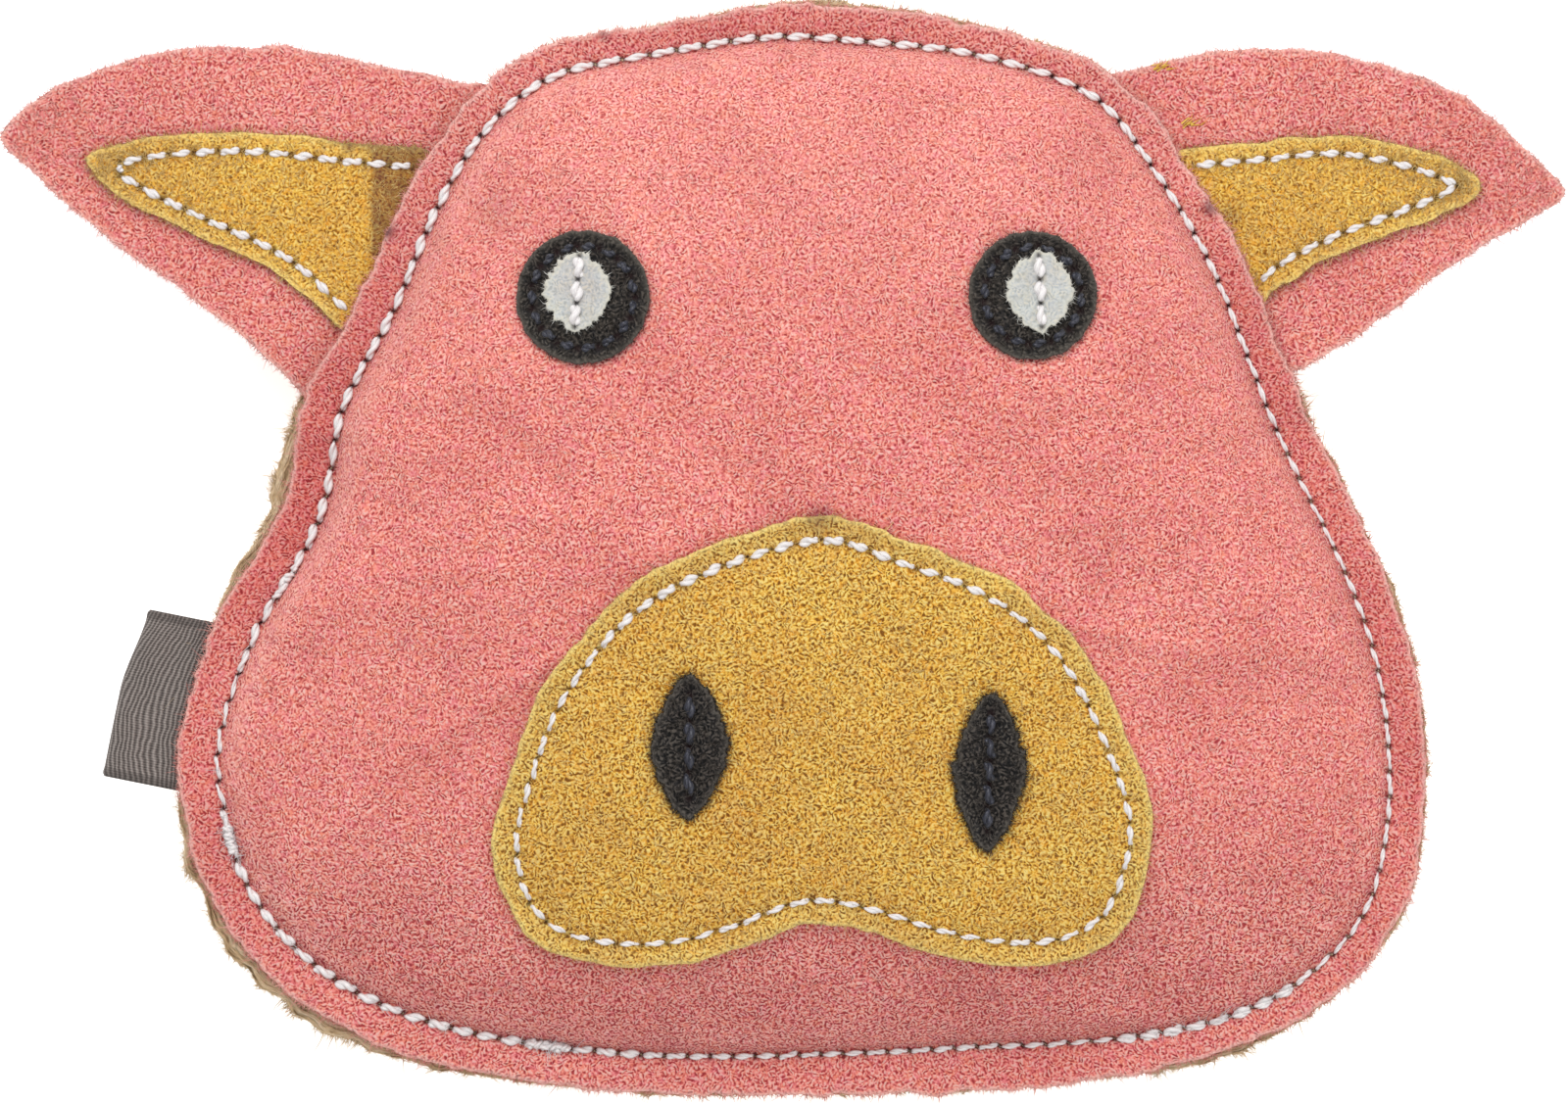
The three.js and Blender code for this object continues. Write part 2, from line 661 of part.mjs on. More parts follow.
piece(label, "label", foldBar(labelInsert, labelSection, labelWidth), greyTape);
piece(head, "label_root", rootPart(labelInsert, labelTape, labelWidth), greyTape);

// The toy stands on the flat of its back, the middle of its outline over the origin
const box = new THREE.Box3().setFromObject(toy);
const middle = box.getCenter(new THREE.Vector3());
toy.position.set(-middle.x, -middle.y, backCrown - restFlat + juteCloth);

export default toy;
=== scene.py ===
# %% [markdown]
# # A stuffed pig's head in suede
#
# This lesson dresses a flat stuffed toy: two leather and jute panels sewn together wrong sides in,
# with raw edges, ears sewn into the seam, and a snout, eyes and nostrils stitched on. Every shape
# is a surface worked out with numpy on a grid, and every finish is a node material.

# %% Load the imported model
import json
import math
import bmesh
import bpy
import numpy as np
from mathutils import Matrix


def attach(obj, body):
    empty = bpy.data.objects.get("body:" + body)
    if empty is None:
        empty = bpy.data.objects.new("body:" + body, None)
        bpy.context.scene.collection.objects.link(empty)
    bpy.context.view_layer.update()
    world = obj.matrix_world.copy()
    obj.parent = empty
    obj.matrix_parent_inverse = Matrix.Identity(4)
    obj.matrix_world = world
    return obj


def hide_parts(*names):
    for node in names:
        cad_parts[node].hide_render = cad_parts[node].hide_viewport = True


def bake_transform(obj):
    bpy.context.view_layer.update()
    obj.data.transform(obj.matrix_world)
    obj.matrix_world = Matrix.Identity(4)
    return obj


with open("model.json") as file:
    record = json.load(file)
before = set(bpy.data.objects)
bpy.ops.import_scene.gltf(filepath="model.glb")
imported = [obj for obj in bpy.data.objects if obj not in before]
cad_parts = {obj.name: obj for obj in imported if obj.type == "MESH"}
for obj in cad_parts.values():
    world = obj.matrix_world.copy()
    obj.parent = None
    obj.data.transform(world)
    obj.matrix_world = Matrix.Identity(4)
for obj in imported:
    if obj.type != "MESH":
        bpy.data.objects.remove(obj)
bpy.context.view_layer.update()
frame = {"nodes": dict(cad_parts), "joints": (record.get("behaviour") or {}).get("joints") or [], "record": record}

# %% [markdown]
# ## The head's own frame
#
# The toy lies on its back. All sizes below are in millimetres from the middle of the head, in the
# plane of its seam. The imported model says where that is: the rest mount is under the middle, and
# the ears' fold lines lie in the seam plane.

# %% Where the head lies
MM = 0.001
folds = {joint["name"]: joint for joint in frame["joints"]}
rest_m = frame["record"]["mounts"][0]["pos_m"]
seam_plane_m = folds["left_ear_fold"]["pos_m"][2]
HEAD = np.array([rest_m[0], rest_m[1], seam_plane_m]) / MM


def place(points):
    """Points in the head's frame, in millimetres, as points in the shared frame, in metres."""
    return (np.asarray(points, float) + HEAD) * MM


print("middle of the head, mm:", HEAD.round(2))

# %% [markdown]
# ## The camera and the light
#
# The photograph looks straight down on the face, so the camera does too, through a long lens that
# keeps the face and the ears at one scale. The light is soft and comes from beyond the top of the
# head, so the chin is darker than the forehead.

# %% Camera
PHOTO_WIDTH, PHOTO_HEIGHT = 1600, 1126
MM_PER_PIXEL = 0.11942
HEAD_PIXEL = (819.5, 561.0)  # the middle of the head in the photograph
CAMERA_DISTANCE = 2500.0
SENSOR = 36.0

camera = bpy.data.objects.new("camera", bpy.data.cameras.new("camera"))
bpy.context.scene.collection.objects.link(camera)
bpy.context.scene.camera = camera
aim_x = (PHOTO_WIDTH / 2 - HEAD_PIXEL[0]) * MM_PER_PIXEL
aim_y = (HEAD_PIXEL[1] - PHOTO_HEIGHT / 2) * MM_PER_PIXEL
camera.location = place([aim_x, aim_y, CAMERA_DISTANCE])
camera.data.sensor_width = SENSOR
camera.data.lens = SENSOR * CAMERA_DISTANCE / (PHOTO_WIDTH * MM_PER_PIXEL)
camera.data.clip_end = 10
print("camera", [round(c, 4) for c in camera.location], "lens", round(camera.data.lens))

# %% Lights and world
def area_lamp(name, at, size, power):
    """A square lamp that looks at the toy, its size in metres and its power in watts."""
    lamp = bpy.data.objects.new(name, bpy.data.lights.new(name, "AREA"))
    lamp.data.size = size
    lamp.data.energy = power
    lamp.location = at
    back = lamp.location.normalized()
    lamp.rotation_euler = back.to_track_quat("Z", "Y").to_euler()
    bpy.context.scene.collection.objects.link(lamp)


area_lamp("window", (-0.25, 0.9, 1.1), 0.9, 13.2)
area_lamp("fill", (0.7, -0.5, 1.0), 1.1, 4.8)

WORLD_LIGHT = 0.6
world = bpy.data.worlds.new("studio")
bpy.context.scene.world = world
world.use_nodes = True
sky = world.node_tree.nodes["Background"]
sky.inputs["Color"].default_value = (1, 1, 1, 1)
path = world.node_tree.nodes.new("ShaderNodeLightPath")
seen = world.node_tree.nodes.new("ShaderNodeMath")
seen.operation = "MULTIPLY_ADD"
world.node_tree.links.new(path.outputs["Is Camera Ray"], seen.inputs[0])
seen.inputs[1].default_value = 1 - WORLD_LIGHT
seen.inputs[2].default_value = WORLD_LIGHT
world.node_tree.links.new(seen.outputs[0], sky.inputs["Strength"])
bpy.context.scene.view_settings.view_transform = "Standard"
print("lamps:", [lamp.name for lamp in bpy.data.lights])

# %% [markdown]
# ## Outlines
#
# A pattern could be a Bezier curve drawn by hand, or a list of hundreds of points. A Catmull-Rom
# curve passes through its few points: they are read off the toy, in shares of half the piece's
# size, so the piece keeps its shape when its size changes.

# %% Curves through points
def cubic_stretches(start, end, leave, arrive, detail):
    """The Hermite cubic of each stretch, at evenly spaced parameters from its start."""
    t = (np.arange(detail) / detail)[None, :, None]
    curve = (2 * t**3 - 3 * t**2 + 1) * start[:, None] + (t**3 - 2 * t**2 + t) * leave[:, None]
    return curve + (3 * t**2 - 2 * t**3) * end[:, None] + (t**3 - t**2) * arrive[:, None]


def smooth_loop(points, detail):
    """A closed Catmull-Rom curve: between two points, the cubic whose slope at each of them is
    half the step from the point before it to the point after it."""
    p = np.asarray(points, float)
    before, after, beyond = np.roll(p, 1, 0), np.roll(p, -1, 0), np.roll(p, -2, 0)
    return cubic_stretches(p, after, (after - before) / 2, (beyond - p) / 2, detail).reshape(-1, 2)


def smooth_path(points, detail):
    """The same curve, open: past each end the last step is repeated."""
    p = np.asarray(points, float)
    p = np.vstack([2 * p[0] - p[1], p, 2 * p[-1] - p[-2]])
    start, end = p[1:-2], p[2:-1]
    path = cubic_stretches(start, end, (end - p[:-3]) / 2, (p[3:] - start) / 2, detail)
    return np.vstack([path.reshape(-1, 2), p[-2]])


print("a loop through 3 points, 8 to a stretch:", len(smooth_loop(np.eye(3)[:, :2], 8)), "points")

# %% Moving a line and measuring it
CORNER_SLACK = 0.97  # of the distance an outline is moved by: nearer to it, a point is left out


def unit(vectors):
    """Vectors of length 1 in the same directions."""
    return vectors / np.linalg.norm(vectors, axis=-1, keepdims=True)


def outward_of(line, closed=True):
    """The direction square to a line and away from the middle of its points, at each of them."""
    if closed:
        along = np.roll(line, -1, 0) - np.roll(line, 1, 0)
    else:
        along = np.gradient(line, axis=0)
    out = unit(np.stack([along[:, 1], -along[:, 0]], 1))
    return out * np.sign(np.sum(out * (line - line.mean(0)), 1).mean())


def inset(line, distance, closed=True):
    """A line moved inwards, square to itself, without the points that come too near to it. The
    distance may differ from point to point."""
    distance = np.broadcast_to(distance, len(line))
    moved = line - distance[:, None] * outward_of(line, closed)
    nearest = np.linalg.norm(moved[:, None] - line[None], axis=2).min(1)
    return moved[nearest > CORNER_SLACK * distance]


def radius_by_angle(loop):
    """The loop's distance from its middle as a function of the direction."""
    angle, radius = np.arctan2(loop[:, 1], loop[:, 0]), np.hypot(*loop.T)
    order = np.argsort(angle)
    return lambda a: np.interp(a, angle[order], radius[order], period=2 * np.pi)


def measured(line, closed=False):
    """A line's points, with the first one again at the end of a closed line, and how far along it
    each of them is."""
    ends = np.vstack([line, line[:1]]) if closed else line
    steps = np.linalg.norm(np.diff(ends, axis=0), axis=1)
    return ends, np.concatenate([[0], np.cumsum(steps)])


def places_at(wanted, far, line):
    """The places on a line where a measure of its points, such as their distance, is as wanted."""
    return np.stack([np.interp(wanted, far, line[:, k]) for k in (0, 1)], 1)


def walk(line, pitch, per_stitch, closed):
    """Points along a line, evenly spaced in stitches: the stitch count at a place is the sum of
    length over pitch up to it. Returns the points and the number of stitches."""
    ends, far = measured(line, closed)
    pitch = np.broadcast_to(pitch, len(line))[: len(far) - 1]
    count = np.concatenate([[0], np.cumsum(np.diff(far) / pitch)])
    stitches = max(2, round(count[-1]))
    places = stitches * per_stitch + (0 if closed else 1)
    wanted = np.arange(places) / per_stitch * count[-1] / stitches
    return places_at(wanted, count, ends), stitches


square = np.array([[0, 0], [1, 0], [1, 1], [0, 1]])
print("round a square of side 1 it is", measured(square, closed=True)[1][-1], "far")

# %% The head's outline and seam line
FACE_LEATHER, PATCH_LEATHER, JUTE, DISC, SPOT = 1.3, 1.1, 1.0, 1.0, 0.9  # thicknesses
HEAD_WIDTH, HEAD_HEIGHT = 151.3, 132.8
INSET_TURNS = np.radians([0, 30, 65, 85, 105, 125, 150, 175, 215, 245, 270, 288, 310, 335])
SEAM_INSETS = [4.9, 4.6, 4.0, 4.8, 3.9, 4.5, 5.0, 5.5, 5.3, 5.1, 5.5, 5.9, 4.4, 4.9]
FACE_CROWN, BACK_CROWN = 18.0, 15.0
REST_FLAT = 0.5
LOOP_DETAIL = 16
HEAD_SHAPE = [
    (-0.03, 1), (-0.24, 0.96), (-0.42, 0.92), (-0.55, 0.81), (-0.64, 0.65), (-0.71, 0.47),
    (-0.8, 0.28), (-0.84, 0.08), (-0.94, -0.12), (-1, -0.32), (-1, -0.46), (-0.945, -0.66),
    (-0.81, -0.83), (-0.6, -0.94), (-0.28, -0.995), (0.05, -1), (0.36, -0.985), (0.615, -0.94),
    (0.81, -0.855), (0.95, -0.7), (1, -0.48), (0.985, -0.225), (0.925, -0.015), (0.81, 0.25),
    (0.71, 0.53), (0.61, 0.72), (0.5, 0.87), (0.325, 0.95), (0.17, 0.985),
]

half_head = np.array([HEAD_WIDTH, HEAD_HEIGHT]) / 2
head_edge = smooth_loop(HEAD_SHAPE * half_head, LOOP_DETAIL)
edge_turn = np.arctan2(head_edge[:, 1], head_edge[:, 0])
seam_line = inset(head_edge, np.interp(edge_turn, INSET_TURNS, SEAM_INSETS, period=2 * np.pi))
edge_radius = radius_by_angle(head_edge)
seam_radius = radius_by_angle(seam_line)
print("head outline", np.ptp(head_edge, 0).round(1), "mm")

# %% [markdown]
# ## What is sewn into the seam
#
# The ears and the folded tape lie between the panels. Each gets its own frame, along the panels'
# edge and out of it, and how far out of it the imported joint folds it.

# %% Frames of the ears and the tape
EAR_ROOTS = {"left": (163, 124.3), "right": (19.95, 57.2)}  # degrees round the head
LABEL_MIDDLE, LABEL_WIDTH = 194.2, 21.0
EAR_STACK, LABEL_STACK = 2.7, 1.1


def from_polar(angle, radius):
    return np.stack([radius * np.cos(angle), radius * np.sin(angle)], -1)


def turn_between(a, b):
    """The angle from b to a, between minus and plus half a turn."""
    return (a - b + np.pi) % (2 * np.pi) - np.pi


def seam_insert(low_angle, high_angle, stack, joint):
    """The frame of a piece sewn in between two places of the panels' edge."""
    low, high = (from_polar(a, edge_radius(a)) for a in (low_angle, high_angle))
    middle = (low + high) / 2
    along = (high - low) / np.linalg.norm(high - low)
    out = np.array([-along[1], along[0]])
    out *= np.sign(out @ middle)
    hinge = np.array(folds[joint]["pos_m"][:2]) / MM - HEAD[:2]
    facing, span = (low_angle + high_angle) / 2, abs(high_angle - low_angle) / 2
    near = np.abs(turn_between(edge_turn, facing)) < span
    return {
        "middle": middle, "along": along, "out": out, "stack": stack,
        "half": np.linalg.norm(high - low) / 2, "fold": (hinge - middle) @ out,
        "facing": facing, "span": span, "bulge": ((head_edge[near] - middle) @ out).max(),
    }


def to_head(insert, along, out):
    """Places given along and out of the panels' edge, in the head's frame."""
    along, out = np.asarray(along)[..., None], np.asarray(out)[..., None]
    return insert["middle"] + along * insert["along"] + out * insert["out"]


inserts = {
    side: seam_insert(*np.radians(roots), EAR_STACK, f"{side}_ear_fold")
    for side, roots in EAR_ROOTS.items()
}
label_middle = math.radians(LABEL_MIDDLE)
label_span = math.asin(LABEL_WIDTH / 2 / edge_radius(label_middle))
inserts["label"] = seam_insert(
    label_middle + label_span, label_middle - label_span, LABEL_STACK, "label_fold"
)
for name, insert in inserts.items():
    print(f"{name}: folds {insert['fold']:.2f} mm out, the panels bulge {insert['bulge']:.2f} mm")

# %% [markdown]
# ## The puffed panels
#
# A stuffed head rises steeply from its seam and is nearly flat in the middle. It could be sculpted,
# or left to a cloth simulation alone, but then the patches, the holes and the stitches would have
# nothing to be placed by. So the height is a formula: with the share s of the way from the middle
# to the seam, it is the crown times (1 - s to the 2.4) to the 0.7.

# %% Heights over the seam plane
PUFF_POWER, PUFF_EDGE = 2.4, 0.7
CALM_TURNS = np.radians([-36, -24, -12, 0, 12, 24, 36])
CALM_POWER = 4
SEAM_GAP = 0.05
INSERT_CLEAR = 0.3
BESIDE, CLOSING_STEP = np.radians([2.6, 4.5])  # beside what is sewn in, and until it is closed


def bell(distance, reach):
    """1 at no distance and little past twice the reach: e to minus the square of their ratio."""
    return np.exp(-((distance / reach) ** 2))


def smoothstep(value, low, high):
    t = np.clip((value - low) / (high - low), 0, 1)
    return t * t * (3 - 2 * t)


def seam_gap(angle):
    """Half the gap between the panels: next to nothing, and wider over what is sewn in."""
    gaps = [np.full(np.shape(angle), SEAM_GAP)]
    for insert in inserts.values():
        past = np.abs(turn_between(angle, insert["facing"])) - insert["span"] - BESIDE
        wide = insert["stack"] / 2 + INSERT_CLEAR / 2
        gaps.append(wide + (SEAM_GAP - wide) * smoothstep(past, 0, CLOSING_STEP))
    return np.max(gaps, 0)


def seam_share(x, y):
    """0 in the middle of the head and 1 at the seam. Nearer the middle the seam line is averaged
    over neighbouring directions, so that no ridge runs in from a bend of it."""
    angle, radius = np.arctan2(y, x), np.hypot(x, y)
    share = radius / seam_radius(angle)
    calm = radius / np.mean([seam_radius(angle + turn) for turn in CALM_TURNS], 0)
    return calm + (share - calm) * np.minimum(1, share**CALM_POWER)


def puff(share):
    """1 in the middle and 0 at the seam."""
    return (1 - np.minimum(1, share) ** PUFF_POWER) ** PUFF_EDGE


def waves(x, y, length, seed, count=9):
    """Smooth lumps about 1 high: a sum of cosines whose directions and phases are drawn once, each
    two thirds to five thirds of the given length long."""
    draw = np.random.default_rng(seed)
    turn, phase = draw.uniform(0, 2 * np.pi, (2, count))
    size = 2 * np.pi / length * draw.uniform(0.6, 1.5, count)
    kx, ky = size * np.cos(turn), size * np.sin(turn)
    total = sum(np.cos(a * x + b * y + c) for a, b, c in zip(kx, ky, phase))
    return total / math.sqrt(count)


print(f"half way to the seam the head is {puff(0.5):.0%} of its crown high")

# %% Where the snout, the nostrils and the eyes are
SNOUT_MIDDLE = np.array([2.4, -23.4])
SNOUT_SIZE = np.array([80, 54.8])
SNOUT_INSET = 2.8
SNOUT_SHAPE = [
    (-0.01, 1), (-0.39, 0.84), (-0.64, 0.62), (-0.85, 0.24), (-0.96, -0.18), (-1, -0.44),
    (-0.96, -0.73), (-0.85, -0.91), (-0.67, -0.985), (-0.45, -0.985), (-0.25, -0.91),
    (-0.04, -0.8), (0.14, -0.84), (0.34, -0.93), (0.54, -0.985), (0.74, -0.97), (0.9, -0.84),
    (0.975, -0.62), (1, -0.33), (0.91, 0.07), (0.76, 0.46), (0.54, 0.73), (0.26, 0.89),
]
NOSTRILS = {
    "left": {"at": (-13.8, -23.8), "length": 17.6, "width": 9.3, "tilt": 1},
    "right": {"at": (22.5, -26.9), "length": 19.4, "width": 8.8, "tilt": 2},
}
NOSTRIL_MARGIN = 2.6
EYES = {
    "left": {"at": (-26.7, 30.6), "radius": 8.1, "spot": (-0.7, 0.7), "tacks_lean": 4},
    "right": {"at": (27.8, 30.8), "radius": 7.8, "spot": (0.9, 0.5), "tacks_lean": -2},
}
EYE_STITCH_INSET = 1.8
SPOT_LENGTH, SPOT_WIDTH = 9.9, 8.5

snout_loop = smooth_loop(SNOUT_SHAPE * SNOUT_SIZE / 2, LOOP_DETAIL)
snout_line = inset(snout_loop, SNOUT_INSET)
snout_radius = radius_by_angle(snout_loop)
snout_line_radius = radius_by_angle(snout_line)


def past_snout(x, y, line_radius):
    """How far a place is outside a loop round the snout, whose radius by direction is given."""
    dx, dy = x - SNOUT_MIDDLE[0], y - SNOUT_MIDDLE[1]
    return np.hypot(dx, dy) - line_radius(np.arctan2(dy, dx))


print("snout", np.ptp(snout_loop, 0).round(1), "mm")

# %% [markdown]
# ## The filling
#
# The bag of loose fibre could be a smooth dome, but a real one pulls the leather into folds that
# run in from the seam. So its skin is a cloth simulation: the bag starts a little low, grows too
# large for its pinned seam, and pressure swells it. Its folds then shape both panels.

# %% Filling, swelled as cloth
BAG_COLUMNS, BAG_RINGS, BAG_FINE = 210, 30, 1260
BAG_CROWDING = 1.35  # the rings crowd towards the seam
BAG_START = 0.94  # of the height under the panels
BAG_STEPS = 20
BAG_CAP = 6.0  # mm that a point may move
BAG_PRESSURE = 4.0
BAG_GROWTH = 0.035
BAG_STIFFNESS = 0.4
FOLD_HARMONICS = 7  # slower changes round the head than this aren't folds
bag_shares = 1 - np.linspace(0.98, 0, BAG_RINGS) ** BAG_CROWDING
bag_angles = np.linspace(0, 2 * np.pi, BAG_COLUMNS, endpoint=False)


def bag_start():
    """The bag's grid: rings from the middle of the face to the seam, and on to the middle of the
    back, a little under the panels."""
    radius = bag_shares[:, None] * seam_radius(bag_angles)
    x, y = np.moveaxis(from_polar(bag_angles, radius), -1, 0)
    swell = BAG_START * puff(seam_share(x, y))
    face_side = np.stack([x, y, FACE_CROWN * swell], -1)
    back_side = np.stack([x, y, -np.minimum(BACK_CROWN * swell, BACK_CROWN - REST_FLAT)], -1)
    return np.concatenate([face_side, back_side[-2::-1]])


def swelled(start):
    """The bag after some steps of cloth with pressure, its seam ring pinned and gravity off."""
    rows, columns = start.shape[:2]
    faces, _, _ = quads(rows, columns, True)
    bag = new_mesh("bag", start.reshape(-1, 3), faces[:, ::-1])
    seam_ring = (np.arange(columns) + (BAG_RINGS - 1) * columns).tolist()
    bag.vertex_groups.new(name="seam").add(seam_ring, 1, "REPLACE")
    cloth = bag.modifiers.new("swell", "CLOTH")
    cloth.settings.vertex_group_mass = "seam"
    cloth.settings.use_pressure = True
    cloth.settings.uniform_pressure_force = BAG_PRESSURE
    cloth.settings.shrink_min = -BAG_GROWTH
    cloth.settings.bending_stiffness = BAG_STIFFNESS
    cloth.settings.effector_weights.gravity = 0
    cloth.collision_settings.use_collision = False
    scene = bpy.context.scene
    for step in range(1, BAG_STEPS + 1):
        scene.frame_set(step)
    shape = bag.evaluated_get(bpy.context.evaluated_depsgraph_get()).to_mesh()
    flat = np.empty(len(shape.vertices) * 3, np.float32)
    shape.vertices.foreach_get("co", flat)
    scene.frame_set(1)
    bpy.data.objects.remove(bag)
    moved = flat.reshape(start.shape) / MM - HEAD - start
    far = np.linalg.norm(moved, axis=-1, keepdims=True)
    return start + moved * np.minimum(1, BAG_CAP / np.maximum(far, 1e-6))


bag = bag_start()
print("bag", bag.shape[0], "rings of", bag.shape[1], "points")

# %% [markdown]
# ## Turning arrays into meshes
#
# A leather piece is a sheet with two sides that meet round its edge. A Solidify modifier could
# give it its thickness, but not a needle hole and a rounded cut of its own. So `leather` joins the
# grids of both sides into one closed shell, and keeps numbers about it for its material to read.

# %% Mesh helpers
WELD = 2e-6  # metres


def quads(rows, columns, wrap, first=0):
    """The corner numbers of a grid's faces, and each corner's row and column."""
    across = columns if wrap else columns - 1
    i, j = np.meshgrid(np.arange(rows - 1), np.arange(across), indexing="ij")
    i, j = i.ravel(), j.ravel()
    row = np.stack([i, i + 1, i + 1, i], 1)
    column = np.stack([j, j, j + 1, j + 1], 1)
    return first + row * columns + column % columns, row, column


def new_mesh(name, points, faces, uv=None, flat=None, **numbers):
    """A mesh object from arrays. `flat` is where each point lies on the piece laid flat, for
    patterns to follow, and the other numbers become attributes too."""
    mesh = bpy.data.meshes.new(name)
    mesh.vertices.add(len(points))
    mesh.vertices.foreach_set("co", place(points).astype(np.float32).ravel())
    mesh.loops.add(faces.size)
    mesh.loops.foreach_set("vertex_index", faces.astype(np.int32).ravel())
    mesh.polygons.add(len(faces))
    mesh.polygons.foreach_set("loop_start", np.arange(0, faces.size, 4, dtype=np.int32))
    mesh.update(calc_edges=True)
    for key, value in numbers.items():
        layer = mesh.attributes.new(key, "FLOAT", "POINT")
        layer.data.foreach_set("value", np.broadcast_to(value, len(points)).astype(np.float32))
    if flat is not None:
        layer = mesh.attributes.new("flat", "FLOAT_VECTOR", "POINT")
        spread = np.concatenate([flat * MM, np.zeros((len(flat), 1))], 1)
        layer.data.foreach_set("vector", spread.astype(np.float32).ravel())
    if uv is not None:
        layer = mesh.uv_layers.new(name="surface")
        layer.data.foreach_set("uv", uv.reshape(-1).astype(np.float32))
    piece = bpy.data.objects.new(name, mesh)
    bpy.context.scene.collection.objects.link(piece)
    return piece


def welded(piece):
    """Merges what lies together, which closes poles and edges, and turns every face outwards."""
    work = bmesh.new()
    work.from_mesh(piece.data)
    bmesh.ops.remove_doubles(work, verts=work.verts, dist=WELD)
    bmesh.ops.dissolve_degenerate(work, edges=work.edges, dist=WELD)
    bmesh.ops.recalc_face_normals(work, faces=work.faces)
    work.to_mesh(piece.data)
    work.free()
    piece.data.shade_smooth()
    return piece


def leather(name, upper, lower, wrap, flat=None, **numbers):
    """A closed shell from the grids of its upper and its lower side. Laid flat, it is as it is seen
    from above, unless it is said otherwise."""
    rows, columns = upper.shape[:2]
    top, _, _ = quads(rows, columns, wrap)
    under, _, _ = quads(rows, columns, wrap, first=rows * columns)
    points = np.concatenate([upper.reshape(-1, 3), lower.reshape(-1, 3)])
    both = {key: np.tile(np.broadcast_to(value, upper.shape[:2]).ravel(), 2)
            for key, value in numbers.items()}
    flat = (upper[..., :2] if flat is None else flat).reshape(-1, 2)
    faces = np.concatenate([top, under[:, ::-1]])
    return welded(new_mesh(name, points, faces, flat=np.tile(flat, (2, 1)), **both))


print("a grid of 3 by 4 points has", len(quads(3, 4, False)[0]), "faces")

# %% Bodies and cut edges
def describe(piece, nodes):
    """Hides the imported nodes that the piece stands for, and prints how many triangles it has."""
    if nodes:
        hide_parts(*nodes)
    triangles = sum(len(face.vertices) - 2 for face in piece.data.polygons)
    print(f"{piece.name}: {triangles} triangles")


def on_head(piece, slot, material, nodes=()):
    """A piece of the head itself."""
    piece.data.materials.append(material)
    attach(piece, "head")
    describe(piece, nodes)
    return piece


def cut_round(distance, radius):
    """How much of its half thickness a cut sheet has at a distance from its edge, 0 to 1: a
    rounded square corner, the cube root of 1 - (1 - distance over radius) cubed."""
    near = 1 - np.clip(distance / radius, 0, 1)
    return (1 - near**3) ** (1 / 3)


def two_sides(x, y, top, bottom, to_edge, radius):
    """The grids of a cut sheet's upper and lower side, which meet half way at its edge."""
    middle, shape = (top + bottom) / 2, cut_round(to_edge, radius)
    upper = np.stack([x, y, middle + (top - middle) * shape], -1)
    lower = np.stack([x, y, middle + (bottom - middle) * shape], -1)
    return upper, lower


def nearest(x, y, points):
    """The distance from each place to the nearest of some points."""
    flat = np.stack([x.ravel(), y.ravel()], 1)
    found = [np.linalg.norm(part[:, None] - points[None], axis=2).min(1)
             for part in np.array_split(flat, max(1, len(flat) // 2000))]
    return np.concatenate(found).reshape(x.shape)


print("half a sheet's thickness near its edge:", cut_round(np.array([0, 0.1, 0.4]), 0.4).round(2))

# %% [markdown]
# ## Folds from the filling
#
# The panels only take the bag's folds: the changes round the head that are too quick for the dome.
# Read off the bag point by point, they would show its coarse grid. A Fourier series of each ring
# leaves the slow changes out and fills in the fine ones.

# %% Folds from the filling
face_folds, back_folds = np.zeros((2, BAG_RINGS, BAG_FINE))


def folds_of(start, end):
    """What changes quickly round the head in the swelled height, on a finer set of columns."""
    change = np.fft.rfft(end[..., 2] - start[..., 2], axis=1)
    change[:, :FOLD_HARMONICS] = 0
    return np.fft.irfft(change, BAG_FINE, axis=1) * BAG_FINE / BAG_COLUMNS


swollen = swelled(bag)
face_folds = folds_of(bag[:BAG_RINGS], swollen[:BAG_RINGS])
back_folds = folds_of(bag[:-BAG_RINGS - 1:-1], swollen[:-BAG_RINGS - 1:-1])
bag = swollen
print("folds up to", np.abs(face_folds).max().round(2), "mm")


def from_bag(table, x, y):
    """A number known on the bag's grid, at places in the plane, by linear interpolation."""
    angle = np.arctan2(y, x)
    row = np.interp(np.hypot(x, y) / seam_radius(angle), bag_shares, np.arange(BAG_RINGS))
    column = angle / (2 * np.pi) % 1 * BAG_FINE
    i, j = np.minimum(row.astype(int), BAG_RINGS - 2), column.astype(int) % BAG_FINE
    down, right = row - i, column - np.floor(column)
    k = (j + 1) % BAG_FINE
    upper = table[i, j] * (1 - right) + table[i, k] * right
    lower = table[i + 1, j] * (1 - right) + table[i + 1, k] * right
    return upper * (1 - down) + lower * down


# %% [markdown]
# ## What lies on what
#
# Each layer is a height over the plane, worked out from the one under it. A patch could be
# shrink-wrapped onto the face instead, but it would cut through where the face bends. A row of
# stitches pulls the whole stack in. Leather that leans is thicker when it is measured upright, so
# each layer's thickness is multiplied by the lean.

# %% Lumps, and what the stitches pull in
FOLD_SHARE = 0.55  # of the bag's folds that show through the leather
LUMP, LUMP_LENGTH = 0.4, 32  # mm high and long
SMALL_LUMP, SMALL_LUMP_LENGTH = 0.12, 13
PULLS = {"snout": (0.45, 2.2), "nostril": (0.7, 2.4), "eye": (0.3, 1.6), "spot": (0.4, 1.8)}
NOSTRIL_SLACK, SPOT_SLACK = 4.0, 4.8  # how much shorter than its leaf the pulled-in stretch is


